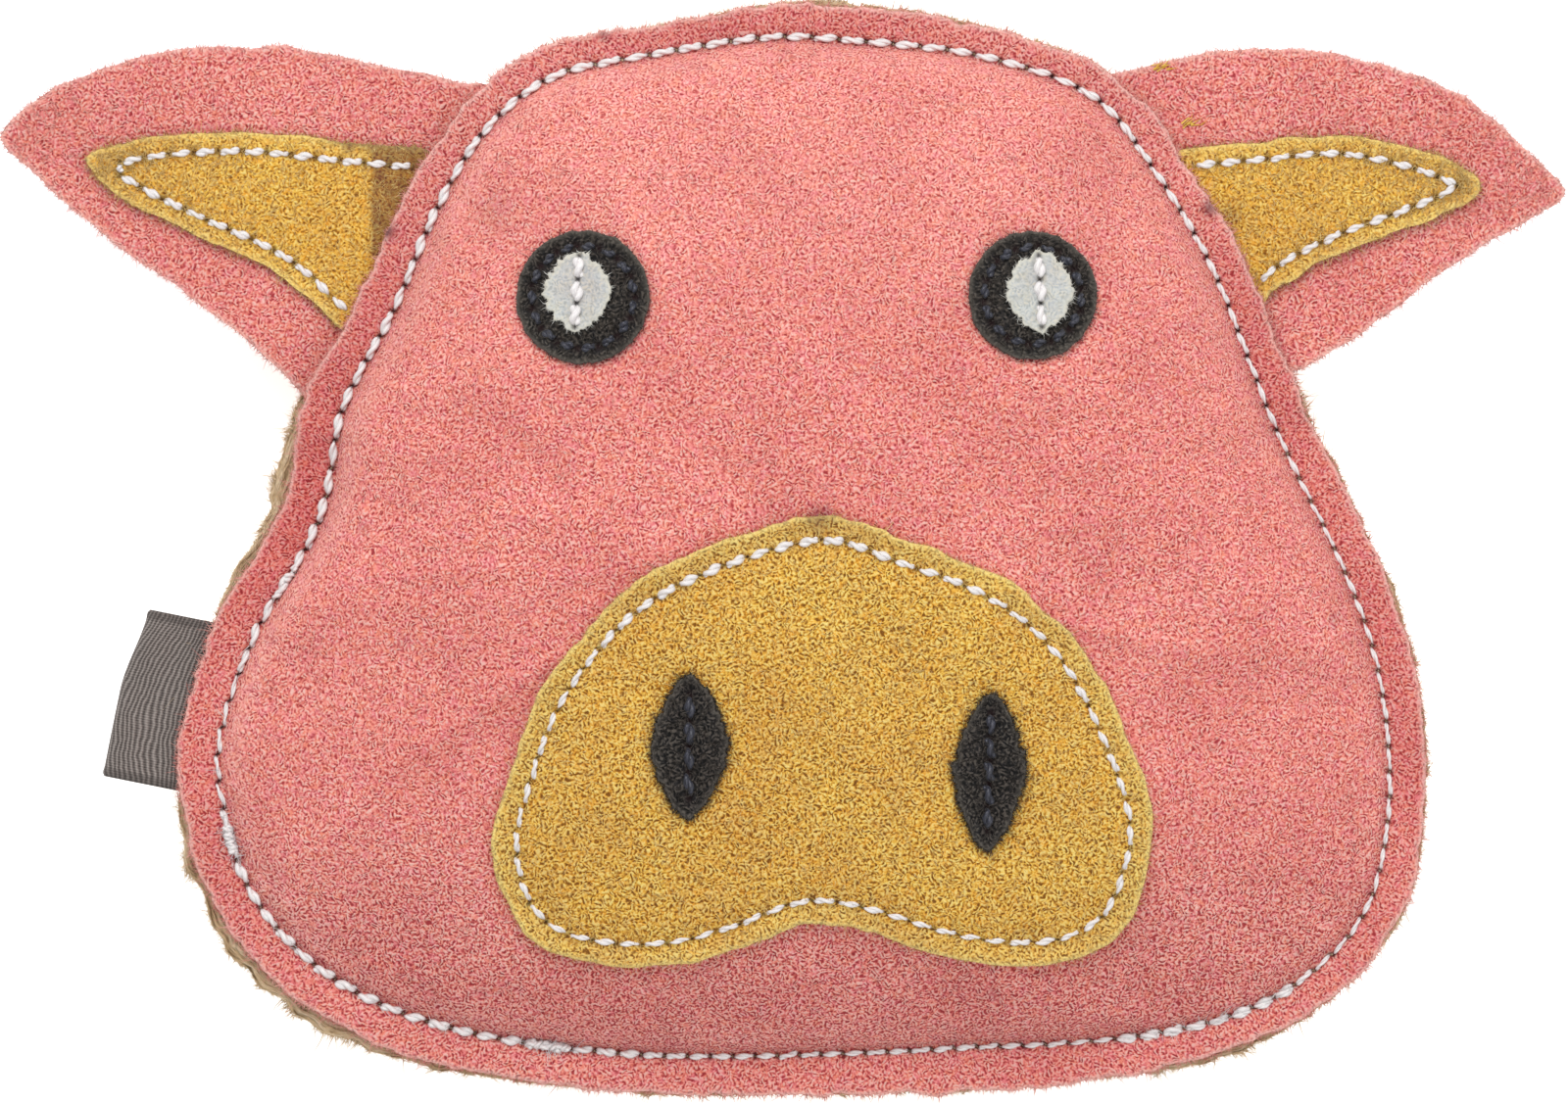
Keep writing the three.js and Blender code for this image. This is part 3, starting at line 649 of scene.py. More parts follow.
def to_segment(x, y, middle, length, tilt):
    """Distance from a straight row of tacks, given by its middle, length and tilt in degrees."""
    turn = math.radians(tilt)
    dx, dy = x - middle[0], y - middle[1]
    across = dx * math.cos(turn) - dy * math.sin(turn)
    lengthwise = dx * math.sin(turn) + dy * math.cos(turn)
    return np.hypot(across, np.maximum(0, np.abs(lengthwise) - length / 2))


def stitched_in(x, y):
    """How far the rows of stitches pull the face in, in millimetres: each by a bell."""
    rows = [("snout", past_snout(x, y, snout_line_radius))]
    for side in ("left", "right"):
        nostril, eye = NOSTRILS[side], EYES[side]
        tacked = nostril["length"] - NOSTRIL_SLACK
        rows.append(("nostril", to_segment(x, y, nostril["at"], tacked, nostril["tilt"])))
        from_eye = np.hypot(x - eye["at"][0], y - eye["at"][1])
        rows.append(("eye", from_eye - eye["radius"] + EYE_STITCH_INSET))
        spot = np.add(eye["at"], eye["spot"])
        rows.append(("spot", to_segment(x, y, spot, SPOT_LENGTH - SPOT_SLACK, 0)))
    return sum(PULLS[name][0] * bell(off, PULLS[name][1]) for name, off in rows)


def lumps(x, y, share, seed):
    """What loose filling does to the leather over it: soft lumps that fade out at the seam."""
    large, small = waves(x, y, LUMP_LENGTH, seed), waves(x, y, SMALL_LUMP_LENGTH, seed + 1)
    return puff(share) * (LUMP * large + SMALL_LUMP * small)


print("a row of stitches pulls the face in by", [depth for depth, _ in PULLS.values()], "mm")

# %% Layers
LEAN_LIMIT = 0.97  # the share of the way to the seam past which the lean no longer grows
LEAN_STEP = 0.5


def dome(x, y, share, crown):
    """Distance of a panel's inner side from the seam plane, without its folds and lumps."""
    return seam_gap(np.arctan2(y, x)) * np.minimum(1, share) ** 6 + crown * puff(share)


def face_top(x, y):
    """Height of the face's outer side."""
    share = seam_share(x, y)
    soft = lumps(x, y, share, 11) + FOLD_SHARE * from_bag(face_folds, x, y) * (share < 1)
    return dome(x, y, share, FACE_CROWN) + FACE_LEATHER + soft - stitched_in(x, y) * (share < 1)


def back_bottom(x, y):
    """Depth of the back's outer side, flat where the toy lies on it."""
    share = seam_share(x, y)
    soft = lumps(x, y, share, 31) * (1 - puff(share)) * 2
    soft = soft - FOLD_SHARE * from_bag(back_folds, x, y) * (share < 1)
    return -np.minimum(dome(x, y, share, BACK_CROWN) + soft, BACK_CROWN - REST_FLAT) - JUTE


def plain_height(x, y):
    """The face's height for its lean, without its folds, lumps and stitches."""
    return FACE_CROWN * puff(np.minimum(seam_share(x, y), LEAN_LIMIT))


def lean(x, y):
    """How much thicker a layer on the face is when measured upright: the root of 1 plus the
    slope squared."""
    slope_x = plain_height(x + LEAN_STEP, y) - plain_height(x - LEAN_STEP, y)
    slope_y = plain_height(x, y + LEAN_STEP) - plain_height(x, y - LEAN_STEP)
    return np.sqrt(1 + (slope_x**2 + slope_y**2) / (2 * LEAN_STEP) ** 2)


def snout_top(x, y):
    """Height of the snout patch, whose rim outside the stitches lifts and waves a little."""
    rim = smoothstep(past_snout(x, y, snout_line_radius), 0.6, SNOUT_INSET)
    lift = rim * (0.25 + 0.22 * waves(x, y, 11, 211))
    return face_top(x, y) + PATCH_LEATHER * lean(x, y) + lift


def eye_top(x, y):
    return face_top(x, y) + DISC * lean(x, y)


def spot_top(x, y):
    return eye_top(x, y) + SPOT * lean(x, y)


def nostril_top(x, y):
    return snout_top(x, y) + DISC * lean(x, y)


print("face crown", face_top(np.zeros(1), np.zeros(1)).round(2), "mm over the seam plane")

# %% [markdown]
# ## Suede
#
# Suede is a felt of fine curly fibres, matte, with dark gaps between them, and paler where it is
# cut or rubbed. The dark of the gaps is painted shade, and on the face some paleness is painted
# light: a sheen inside the seam and the upper part of the face. A photograph of suede wrapped round
# the pieces would smear and repeat. So the felt is Gabor noise, small packets of waves in every
# direction, with plain noise added. Its troughs are the gaps, in painted shade, and its crests the
# pale fibres on top. Its coordinates are bent, which curls the strands.

# %% Node helpers
def tree_of(name):
    material = bpy.data.materials.new(name)
    material.use_nodes = True
    return material, material.node_tree


def joined(tree, socket, value):
    """Links a socket to another node's output, or sets it to a number or a colour."""
    if isinstance(value, bpy.types.NodeSocket):
        tree.links.new(value, socket)
    elif isinstance(value, tuple) and socket.type == "RGBA":
        socket.default_value = (*value, 1)
    else:
        socket.default_value = value


def add(tree, kind, inputs=None, **settings):
    """A new node with its settings, its inputs given as values or as other nodes' outputs."""
    node = tree.nodes.new("ShaderNode" + kind)
    for key, value in settings.items():
        setattr(node, key, value)
    for key, value in (inputs or {}).items():
        joined(tree, node.inputs[key], value)
    return node


def noise(tree, vector, size_mm, detail=2.0, rough=0.5, output="Fac"):
    """Noise whose lumps are about as wide as the given size."""
    inputs = {"Vector": vector, "Scale": 1 / (size_mm * MM), "Detail": detail, "Roughness": rough}
    return add(tree, "TexNoise", inputs).outputs[output]


def ramp(tree, value, stops):
    """A colour ramp through stops of position and linear colour."""
    node = add(tree, "ValToRGB", {"Fac": value})
    band = node.color_ramp.elements
    while len(band) < len(stops):
        band.new(0.5)
    for element, (at, colour) in zip(band, stops):
        element.position = at
        element.color = (*colour, 1)
    return node.outputs["Color"]


def mix(tree, share, first, second, blend="MIX"):
    """Two colours mixed by a share."""
    node = add(tree, "Mix", {0: share, 6: first, 7: second}, data_type="RGBA", blend_type=blend)
    return node.outputs[2]


def either(tree, share, first, second):
    """Two numbers mixed by a share."""
    return add(tree, "Mix", {0: share, 2: first, 3: second}).outputs[0]


def maths(tree, operation, first, second=0.0):
    return add(tree, "Math", {0: first, 1: second}, operation=operation).outputs[0]


def times(tree, first, second):
    return maths(tree, "MULTIPLY", first, second)


def plus(tree, first, second):
    return maths(tree, "ADD", first, second)


def vector_maths(tree, operation, first, second):
    return add(tree, "VectorMath", {0: first, 1: second}, operation=operation).outputs[0]


def stretch(tree, value, low, high, to_low=0.0, to_high=1.0):
    """A value moved from one range to another, and kept in it."""
    inputs = {"Value": value, "From Min": low, "From Max": high, "To Min": to_low,
              "To Max": to_high}
    return add(tree, "MapRange", inputs).outputs["Result"]


def attribute(tree, name):
    return add(tree, "Attribute", attribute_name=name).outputs["Fac"]


def own_place(tree):
    """The place in the piece's own coordinates."""
    return add(tree, "TexCoord").outputs["Object"]


print("noise with lumps of 2 mm has a scale of", 1 / (2 * MM))

# %% Colours and finishes
FULL_LIGHT = 1.2  # what full light makes of a surface's own colour


def linear(red, green, blue):
    """A colour as seen, 0 to 255, as the linear light a shader works in."""
    seen = np.array([red, green, blue]) / 255
    light = np.where(seen > 0.04045, ((seen + 0.055) / 1.055) ** 2.4, seen / 12.92)
    return tuple(float(part) for part in light / FULL_LIGHT)


def finish(tree, colour, roughness, height=None, relief_mm=0.0, strength=1.0, **sockets):
    """Gives the tree's shader its colour, its roughness, a bump as deep as the relief where there
    is a height, and what else is named: an underscore stands for a space."""
    shader = tree.nodes["Principled BSDF"]
    joined(tree, shader.inputs["Base Color"], colour)
    shader.inputs["Roughness"].default_value = roughness
    if height is not None:
        inputs = {"Height": height, "Strength": strength, "Distance": relief_mm * MM}
        tree.links.new(add(tree, "Bump", inputs).outputs[0], shader.inputs["Normal"])
    for name, value in sockets.items():
        joined(tree, shader.inputs[name.replace("_", " ")], value)


print("pink as seen and as linear light:", (252, 130, 120), np.round(linear(252, 130, 120), 3))

# %% The felt of suede
def bent_coordinates(tree, size_mm, by_mm):
    """The piece's flat coordinates, plain and moved about by noise, by up to a distance."""
    coordinates = add(tree, "Attribute", attribute_name="flat").outputs["Vector"]
    push = noise(tree, coordinates, size_mm, detail=1.0, output="Color")
    centred = vector_maths(tree, "SUBTRACT", push, (0.5, 0.5, 0.5))
    scaled = vector_maths(tree, "MULTIPLY", centred, (2 * by_mm * MM,) * 3)
    return coordinates, vector_maths(tree, "ADD", coordinates, scaled)


def strands(tree, vector, width_mm, swirl_mm):
    """A felt of short curly strands, each about as wide as given, in swirls of a size: Gabor noise
    that favours no direction. 0.5 is its middle."""
    inputs = {"Vector": vector, "Scale": 1 / (swirl_mm * MM), "Anisotropy": 0.0,
              "Frequency": swirl_mm / (2 * width_mm)}
    return add(tree, "TexGabor", inputs, gabor_type="2D").outputs["Value"]


def napped(tree, coordinates, curled, size):
    """The height of the felt: strands and finer noise, more uneven where the leather is rough."""
    nap = times(tree, strands(tree, curled, 0.25 * size, 0.9 * size), 0.75)
    felt = noise(tree, coordinates, 0.55 * size, detail=3.0, rough=0.7)
    nap = plus(tree, nap, times(tree, felt, 0.85))
    unevenness = plus(tree, 1.0, attribute(tree, "rough"))
    return plus(tree, times(tree, maths(tree, "SUBTRACT", nap, 0.8), unevenness), 0.5)


def flecked(tree, coordinates, colour, shades):
    """A colour flecked with two shades, each where one channel of a noise is high."""
    split = add(tree, "SeparateColor", {0: noise(tree, coordinates, 1.2, 3.0, 0.7, "Color")})
    for channel, shade in enumerate(shades):
        share = stretch(tree, split.outputs[channel], 0.47, 0.64, 0.0, 0.6)
        colour = mix(tree, share, colour, shade)
    return colour


print("strands 0.25 mm wide in swirls of 0.9 mm have a frequency of", 0.9 / (2 * 0.25))

# %% Suede, from its felt to its marks
INK, PIT_SHADE = linear(92, 44, 52), linear(44, 26, 28)
# the darker, redder colour of the flange and the chin: partly their own tone, partly painted shade
TINT_AND_SHADE_COLOUR = (0.82, 0.62, 0.64)
PATCH_TINT = (0.9, 0.82, 0.83)


def suede(name, gap, low, high, pale, warm, cool, relief_mm=0.24, size=1.0, gaps=0.9):
    """Napped leather: the colours of the painted shade in its gaps, of the felt and of the fibres on
    top, the pale colour of its cut edge, and a warm and a cool shade that it is flecked with."""
    material, tree = tree_of(name)
    coordinates, curled = bent_coordinates(tree, 1.1 * size, 0.6 * size)
    nap = napped(tree, coordinates, curled, size)
    colour = ramp(tree, nap, [(0.34, low), (0.64, high)])
    colour = flecked(tree, coordinates, colour, (warm, cool))
    # pale rims and worn leather, and painted light: the sheen inside the seam and the paler upper face
    colour = mix(tree, times(tree, attribute(tree, "smooth"), 0.35), colour, pale)
    # painted shade in the gaps between the fibres, where the felt lies low
    colour = mix(tree, times(tree, stretch(tree, nap, 0.51, 0.28), gaps), colour, gap)
    colour = mix(tree, stretch(tree, nap, 0.54, 0.68, 0.0, 0.7), colour, pale)
    patches = noise(tree, coordinates, 15, detail=4.0, rough=0.6)
    shade = ramp(tree, patches, [(0.33, PATCH_TINT), (0.62, (1.0, 1.0, 1.0))])
    colour = mix(tree, 1.0, colour, shade, "MULTIPLY")
    # the flange and the chin darker and redder: partly their own tone, partly painted shade
    colour = mix(tree, attribute(tree, "flange"), colour, TINT_AND_SHADE_COLOUR, "MULTIPLY")
    colour = mix(tree, times(tree, attribute(tree, "cut"), 0.6), colour, pale)
    colour = mix(tree, attribute(tree, "stain"), colour, INK)
    colour = mix(tree, attribute(tree, "pit"), colour, PIT_SHADE)
    finish(tree, colour, 0.95, nap, relief_mm, Specular_IOR_Level=0.12, Sheen_Weight=0.08,
           Sheen_Roughness=0.6)
    return material


PINK = suede(
    "pink_suede", linear(172, 56, 62), linear(252, 130, 120), linear(255, 172, 158),
    pale=linear(255, 212, 200), warm=linear(255, 150, 114), cool=linear(250, 138, 152), gaps=0.98,
)
OCHRE = suede(
    "ochre_suede", linear(118, 70, 18), linear(228, 160, 52), linear(255, 212, 92),
    pale=linear(255, 234, 150), warm=linear(252, 170, 46), cool=linear(234, 188, 100),
)
BLACK = suede(
    "black_leather", linear(6, 6, 6), linear(32, 30, 28), linear(66, 62, 58),
    pale=linear(104, 98, 90), warm=linear(50, 42, 34), cool=linear(32, 34, 38), size=1.1,
)
GREY = suede(
    "pale_leather", linear(134, 138, 136), linear(196, 202, 200), linear(216, 221, 218),
    pale=linear(224, 220, 202), warm=linear(210, 206, 186), cool=linear(192, 200, 204),
    relief_mm=0.08, gaps=0.3,
)
print("suedes:", PINK.name, OCHRE.name, BLACK.name, GREY.name)

# %% [markdown]
# ## Thread
#
# The toy is sewn with two-ply polyester. A row could be one bumpy tube, but then no stitch would
# dive into its hole. So each stitch is a short length of two plies wound round each other, rising
# out of one needle hole and diving into the next. There are hundreds, so each has few faces.

# %% Thread
def thread(name, dark, light, rough):
    """Thread: fine lines along the ply, from the surface coordinates along and round it."""
    material, tree = tree_of(name)
    along = add(tree, "UVMap", uv_map="surface").outputs[0]
    stretched = vector_maths(tree, "MULTIPLY", along, (1.2, 14.0, 1.0))
    lines = add(tree, "TexNoise", {"Vector": stretched, "Scale": 1.0, "Detail": 2.0}).outputs["Fac"]
    colour = ramp(tree, lines, [(0.3, dark), (0.65, light)])
    finish(tree, colour, rough, lines, 0.06, strength=0.6, Sheen_Weight=0.1)
    return material


WHITE_THREAD = ("white_thread",  # the slot of each thread and its finish
                thread("white_thread", linear(230, 223, 226), linear(255, 252, 249), 0.5))
BLACK_THREAD = ("black_thread",
                thread("black_thread", linear(12, 12, 18), linear(66, 67, 82), 0.38))


print("threads:", WHITE_THREAD[0], BLACK_THREAD[0])

# %% Stitches
STITCH_ROWS, STITCH_SIDES = 9, 6
PLY_RADIUS, PLY_OFFSET = 0.3, 0.23
STITCH_TURNS = 0.75
ARCH_POWER = 0.38
DIVE, STAND = 0.35, 0.2  # mm that its ends go under the surface and its middle stands over it
HOLE_GAP = 0.14


def stitches(name, holes, height, closed=False, up=1, thick=1.0, slant=0.13, seed=3,
             gap=HOLE_GAP):
    """Stitches from hole to hole over a surface, each two plies wound round each other. Along a
    stitch, t goes from 0 to 1: its line rises as the sine of half a turn times t, to the arch's
    power, and each ply thins to a point where it dives."""
    draw = np.random.default_rng(seed)
    start = holes if closed else holes[:-1]
    end = np.roll(holes, -1, 0) if closed else holes[1:]
    along = unit(end - start)
    aside = np.stack([-along[:, 1], along[:, 0]], 1)
    slants = aside * slant * up * (1 + 0.5 * draw.normal(size=(len(start), 1)))
    start = start + along * gap / 2 - slants
    end = end - along * gap / 2 + slants
    count = len(start)
    shape = (count, 2, STITCH_ROWS, STITCH_SIDES)
    t = np.linspace(0, 1, STITCH_ROWS)[None, None, :, None]
    ply = np.pi * np.arange(2)[None, :, None, None]
    round_ply = 2 * np.pi * np.arange(STITCH_SIDES)[None, None, None, :] / STITCH_SIDES
    thick = np.broadcast_to(thick, len(holes))[:count]
    fat = (thick * (1 + draw.uniform(-0.12, 0.14, count)))[:, None, None, None]
    wind = 2 * np.pi * STITCH_TURNS * t + ply + draw.uniform(0, 2 * np.pi, (count, 1, 1, 1))
    arch = np.maximum(0, np.sin(np.pi * t)) ** ARCH_POWER
    offset, radius = PLY_OFFSET * fat * (0.3 + 0.7 * arch), PLY_RADIUS * fat * arch
    rise = offset * np.sin(wind) + radius * np.sin(round_ply) - DIVE + (DIVE + STAND * fat) * arch
    across = np.broadcast_to(offset * np.cos(wind) + radius * np.cos(round_ply), shape)
    way, beside = (part[:, None, None, None] for part in (end - start, aside))
    flat = start[:, None, None, None] + way * t[..., None] + beside * across[..., None]
    level = height(flat[..., 0].ravel(), flat[..., 1].ravel()).reshape(shape)
    level = np.broadcast_to(level.mean((1, 3), keepdims=True), shape)
    points = np.concatenate([flat, (level + up * rise)[..., None]], -1)
    points = points.reshape(-1, STITCH_ROWS * STITCH_SIDES, 3)
    face, row, column = quads(STITCH_ROWS, STITCH_SIDES, True)
    faces = face[None] + (np.arange(len(points)) * STITCH_ROWS * STITCH_SIDES)[:, None, None]
    one = np.stack([row * 0.5, column / STITCH_SIDES], -1)
    uv = one[None] + draw.uniform(0, 9, (len(points), 1, 1, 1))
    return welded(new_mesh(name, points.reshape(-1, 3), faces.reshape(-1, 4), uv=uv))


def sewn(name, holes, height, nodes=(), with_thread=WHITE_THREAD, **how):
    """A row of stitches on the head."""
    return on_head(stitches(name, holes, height, **how), *with_thread, nodes)


print("a stitch has", 2 * 2 * (STITCH_ROWS - 1) * STITCH_SIDES, "triangles at most")

# %% [markdown]
# ## Loose fibres
#
# Raw suede sheds: a fringe of short fibres along its cut edges, and longer ones that lie on it.
# Blender's hair could draw them, but hair isn't a mesh and wouldn't leave with the model. So each
# fibre is a bent three-sided spike of a few faces, drawn from the same numbers on every run.

# %% Fibres
FIBRE_ROWS = 3


def fibres(name, roots, ways, lengths, width, curl, seed):
    """Spikes from their roots: a fibre's line is its root plus t along its way, plus t squared
    times a random push to the side, and it thins towards its tip."""
    draw = np.random.default_rng(seed)
    count = len(roots)
    t = np.linspace(0, 1, FIBRE_ROWS)[None, :, None]
    push = draw.normal(size=(count, 3)) * curl
    ways = unit(ways)
    centre = roots[:, None] + (ways[:, None] * t + push[:, None] * t**2) * lengths[:, None, None]
    side = unit(np.cross(ways, draw.normal(size=(count, 3))))
    other = np.cross(ways, side)
    turn = 2 * np.pi * np.arange(3) / 3
    ring = side[:, None] * np.cos(turn)[:, None] + other[:, None] * np.sin(turn)[:, None]
    thick = (width / 2 * np.sqrt(1.02 - t))[..., None] * draw.uniform(0.6, 1.3, (count, 1, 1, 1))
    points = centre[:, :, None] + ring[:, None] * thick
    face, _, _ = quads(FIBRE_ROWS, 3, True)
    faces = face[None] + (np.arange(count) * FIBRE_ROWS * 3)[:, None, None]
    tint = np.repeat(draw.uniform(0, 1, count), FIBRE_ROWS * 3)
    piece = new_mesh(name, points.reshape(-1, 3), faces.reshape(-1, 4), tint=tint)
    piece.data.shade_smooth()
    return piece


print("a fibre has", FIBRE_ROWS, "rings of 3 points")

# %% Colours of the fibres
def fibre_material(name, dark, light):
    """Fibres of one colour, each its own shade of it."""
    material, tree = tree_of(name)
    grain = noise(tree, own_place(tree), 0.4)
    shade = plus(tree, attribute(tree, "tint"), times(tree, grain, 0.3))
    colour = ramp(tree, shade, [(0.1, dark), (1.0, light)])
    finish(tree, colour, 0.9, Specular_IOR_Level=0.15)
    return material


PINK_FIBRE = fibre_material("pink_fibre", linear(216, 122, 116), linear(252, 190, 178))
OCHRE_FIBRE = fibre_material("ochre_fibre", linear(186, 140, 68), linear(240, 208, 140))
BLACK_FIBRE = fibre_material("black_fibre", linear(14, 12, 12), linear(90, 84, 78))
GREY_FIBRE = fibre_material("grey_fibre", linear(178, 176, 166), linear(232, 231, 226))
JUTE_FIBRE = fibre_material("jute_fibre", linear(186, 152, 110), linear(250, 226, 190))
SHAVING = fibre_material("ochre_shaving", linear(230, 176, 60), linear(255, 216, 110))
WHITE_FIBRE = fibre_material("white_fibre", linear(214, 208, 214), linear(253, 252, 250))


PINK_KIND = ("pink_suede", PINK, PINK_FIBRE)  # a leather's slot, its finish and what it sheds
OCHRE_KIND = ("ochre_suede", OCHRE, OCHRE_FIBRE)
BLACK_KIND = ("black_leather", BLACK, BLACK_FIBRE)
GREY_KIND = ("pale_leather", GREY, GREY_FIBRE)
print("kinds of leather:", PINK_KIND[0], OCHRE_KIND[0], BLACK_KIND[0], GREY_KIND[0])

# %% Fringes and felt
def fringe(name, line, top, thickness, per_mm, length, seed, width=0.1, spread=0.9, closed=True,
           lie=0.0):
    """Fibres out of a cut edge: outward, a little along it and a little up or down. The more they
    lie, from 0 to 1, the less they point outward."""
    draw = np.random.default_rng(seed)
    ends, far = measured(line, closed)
    count = int(far[-1] * per_mm)
    at = draw.uniform(0, far[-1], count)
    flat = places_at(at, far, ends)
    i = np.minimum(np.searchsorted(far, at) - 1, len(line) - 1)
    out = outward_of(line, closed)[i]
    edgewise = np.stack([-out[:, 1], out[:, 0]], 1)
    inside = flat - 0.25 * out
    z = top(inside[:, 0], inside[:, 1]) - thickness * draw.uniform(0.05, 0.95, count)
    outward = 1 - lie * draw.uniform(0.5, 1, (count, 1))
    flatwise = outward * out + spread * draw.normal(size=(count, 1)) * edgewise
    way = np.concatenate([flatwise, 0.4 * draw.normal(size=(count, 1))], 1)
    roots = np.concatenate([flat - 0.12 * out, z[:, None]], 1)
    lengths = length * draw.lognormal(-0.1, 0.45, count)
    return fibres(name, roots, way, lengths, width, 0.45, seed + 1)


def lying(name, roots, height, length, seed, width=0.1, rise=0.16):
    """Fibres that lie on a surface, each rising a little from its root."""
    draw = np.random.default_rng(seed)
    count = len(roots)
    turn = draw.uniform(0, 2 * np.pi, count)
    lengths = length * draw.lognormal(-0.1, 0.4, count)
    tip = roots + from_polar(turn, lengths)
    z = height(roots[:, 0], roots[:, 1])
    climb = height(tip[:, 0], tip[:, 1]) - z + rise * lengths
    way = np.concatenate([tip - roots, climb[:, None]], 1)
    start = np.concatenate([roots, z[:, None] - 0.03], 1)
    return fibres(name, start, way, lengths, width, 0.25, seed + 1)


def scattered(count, seed, half_size, keep):
    """Random places in the middle box of a half size, of those that a test keeps."""
    draw = np.random.default_rng(seed)
    flat = draw.uniform(-1, 1, (count, 2)) * half_size
    return flat[keep(flat[:, 0], flat[:, 1])]


print("of 99 places on a square a disc has", len(scattered(99, 1, 1, lambda x, y: x**2 + y**2 < 1)))

# %% [markdown]
# ## The face panel
#
# One piece of pink suede, cut raw. A grid of squares would have to be very fine everywhere to show
# a needle hole. This one is polar: it has the same number of columns to every stitch, so each hole
# falls on a column, and its rings crowd at the seam, the stitches and the cut edge.

# %% Rings and columns of the panels
THREAD_SEAT = 0.62  # from the crease to the row of stitches
PITCH_TURNS = np.radians([0, 60, 90, 135, 180, 225, 270, 315, 360])
PITCH_SIZES = [3.2, 3.3, 3.3, 3.4, 3.5, 3.1, 2.65, 2.9, 3.2]
MEAN_PITCH = 3.1
HOLE_DEPTH, HOLE_SIZE = 0.75, 0.31
CROWDED_FROM, CROWDING = 0.88, 1.25  # the rings past this share of the way come closer together
crowded = 1 - (1 - CROWDED_FROM) * np.linspace(1, 0, 20)[1:] ** CROWDING
DOME_RINGS = np.concatenate([np.linspace(0, CROWDED_FROM, 27), crowded])
FLANGE_RINGS = [0.07, 0.12, 0.17, 0.22, 0.28, 0.38, 0.52, 0.66, 0.8, 0.9, 0.95, 0.98, 0.993, 1]

all_round = np.linspace(-np.pi, np.pi, 1440, endpoint=False)
stitch_loop = from_polar(all_round, seam_radius(all_round) + THREAD_SEAT)
stitch_pitch = np.interp(all_round % (2 * np.pi), PITCH_TURNS, PITCH_SIZES)


def panel_grid(per_stitch, over):
    """A panel's grid: for each point x, y, the distance past the seam and to the edge, and how far
    along the row it is from the nearest needle hole, in stitches."""
    line, count = walk(stitch_loop, stitch_pitch, per_stitch, closed=True)
    angle = np.arctan2(line[:, 1], line[:, 0])
    seam, edge = seam_radius(angle), edge_radius(angle) + over(angle)
    radius = np.concatenate([DOME_RINGS[:, None] * seam,
                             seam + np.array(FLANGE_RINGS)[:, None] * (edge - seam)])
    x, y = np.moveaxis(from_polar(angle, radius), -1, 0)
    phase = np.arange(len(line)) / per_stitch
    return x, y, radius - seam, edge - radius, phase - np.round(phase)


def unrolled(x, y, z):
    """The panel laid flat: each point as far from the middle as it is along its column."""
    out = np.hypot(x, y)
    steps = np.hypot(np.diff(out, axis=0), np.diff(z, axis=0))
    far = np.concatenate([out[:1], out[:1] + np.cumsum(steps, 0)])
    return from_polar(np.arctan2(y, x), far)


def round_head(angle):
    """Places round the head, for waves that close on themselves."""
    return 60 * np.cos(angle), 60 * np.sin(angle)


def ragged(angle, seed, size=1.0):
    """How far a cut edge strays from its line."""
    x, y = round_head(angle)
    return size * (0.2 * waves(x, y, 9, seed) + 0.12 * waves(x, y, 2.8, seed + 1)
                   + 0.09 * waves(x, y, 1.2, seed + 2))


def lobes(angle, table):
    """Bells round the head, for each direction, spread and size in a table, in degrees."""
    return [size * bell(turn_between(angle, math.radians(at)), math.radians(wide))
            for at, wide, size in table]


print(len(DOME_RINGS), "rings to the seam and", len(FLANGE_RINGS), "past it")

# %% Face panel
MARKS = [  # ink and dirt on the face and its edge: x, y, radius, strength
    (-50.5, 38.7, 0.9, 0.85), (49.4, 41.5, 1.0, 0.8), (1.9, 3.6, 1.4, 0.6), (-37.6, 41, 2.6, 0.2),
    (-18, 65.6, 0.9, 0.5), (-24.3, 62.8, 0.8, 0.5), (-9.5, 66.2, 0.7, 0.45), (-53.4, 2.6, 0.7, 0.3),
    (-48.2, -11.5, 1.2, 0.22), (64.5, -8.5, 0.8, 0.3), (23.1, -54, 0.7, 0.3), (-5.2, 47, 0.6, 0.3),
]
SHADES = [  # where the flange is darker and redder, partly its darker dye and partly painted shadow of the dome: direction and spread in degrees, strength
    (175, 13, 0.95), (151, 14, 0.5), (22, 12, 0.6), (-14, 16, 0.45), (95, 26, 0.45), (205, 9, 0.35),
]
# a darker, redder band across the chin, its middle, strength and width: painted shade under the snout, partly the
# chin's own darker nap
CHIN, CHIN_SHADE, CHIN_WIDTH = -57.0, 0.36, 8
WORN_AND_SHEEN_SIDE = math.radians(150)  # where the band just inside the seam is palest: partly leather rubbed smooth, partly painted sheen on the side towards the light


def marks(x, y, spots):
    """How marked each place is: a round soft spot for each mark."""
    found = [s * bell(np.hypot(x - a, y - b), r) for a, b, r, s in spots]
    return np.max(found, 0)


def specks(x, y, to_edge, seed):
    """Dark specks along a cut edge."""
    return 0.5 * bell(to_edge, 0.3) * smoothstep(waves(x, y, 2.0, seed + 3), 0.7, 1.4)


def flange_wave(x, y, past_seam):
    return 0.3 * waves(x, y, 24, 17) * np.clip(past_seam / 3, 0, 1)


def puckers(x, y, past_seam, from_hole):
    """How the leather puckers inside the row: a wave with every stitch, and slower ones, which
    rise from the seam and die away over a few millimetres."""
    pucker = np.cos(2 * np.pi * from_hole) * 0.17 + 0.3 * waves(x, y, 6.5, 71)
    fade = np.exp(np.minimum(0, past_seam) / 3.4) * (1 - np.exp(past_seam / 0.5))
    return pucker * fade * (past_seam < 0)


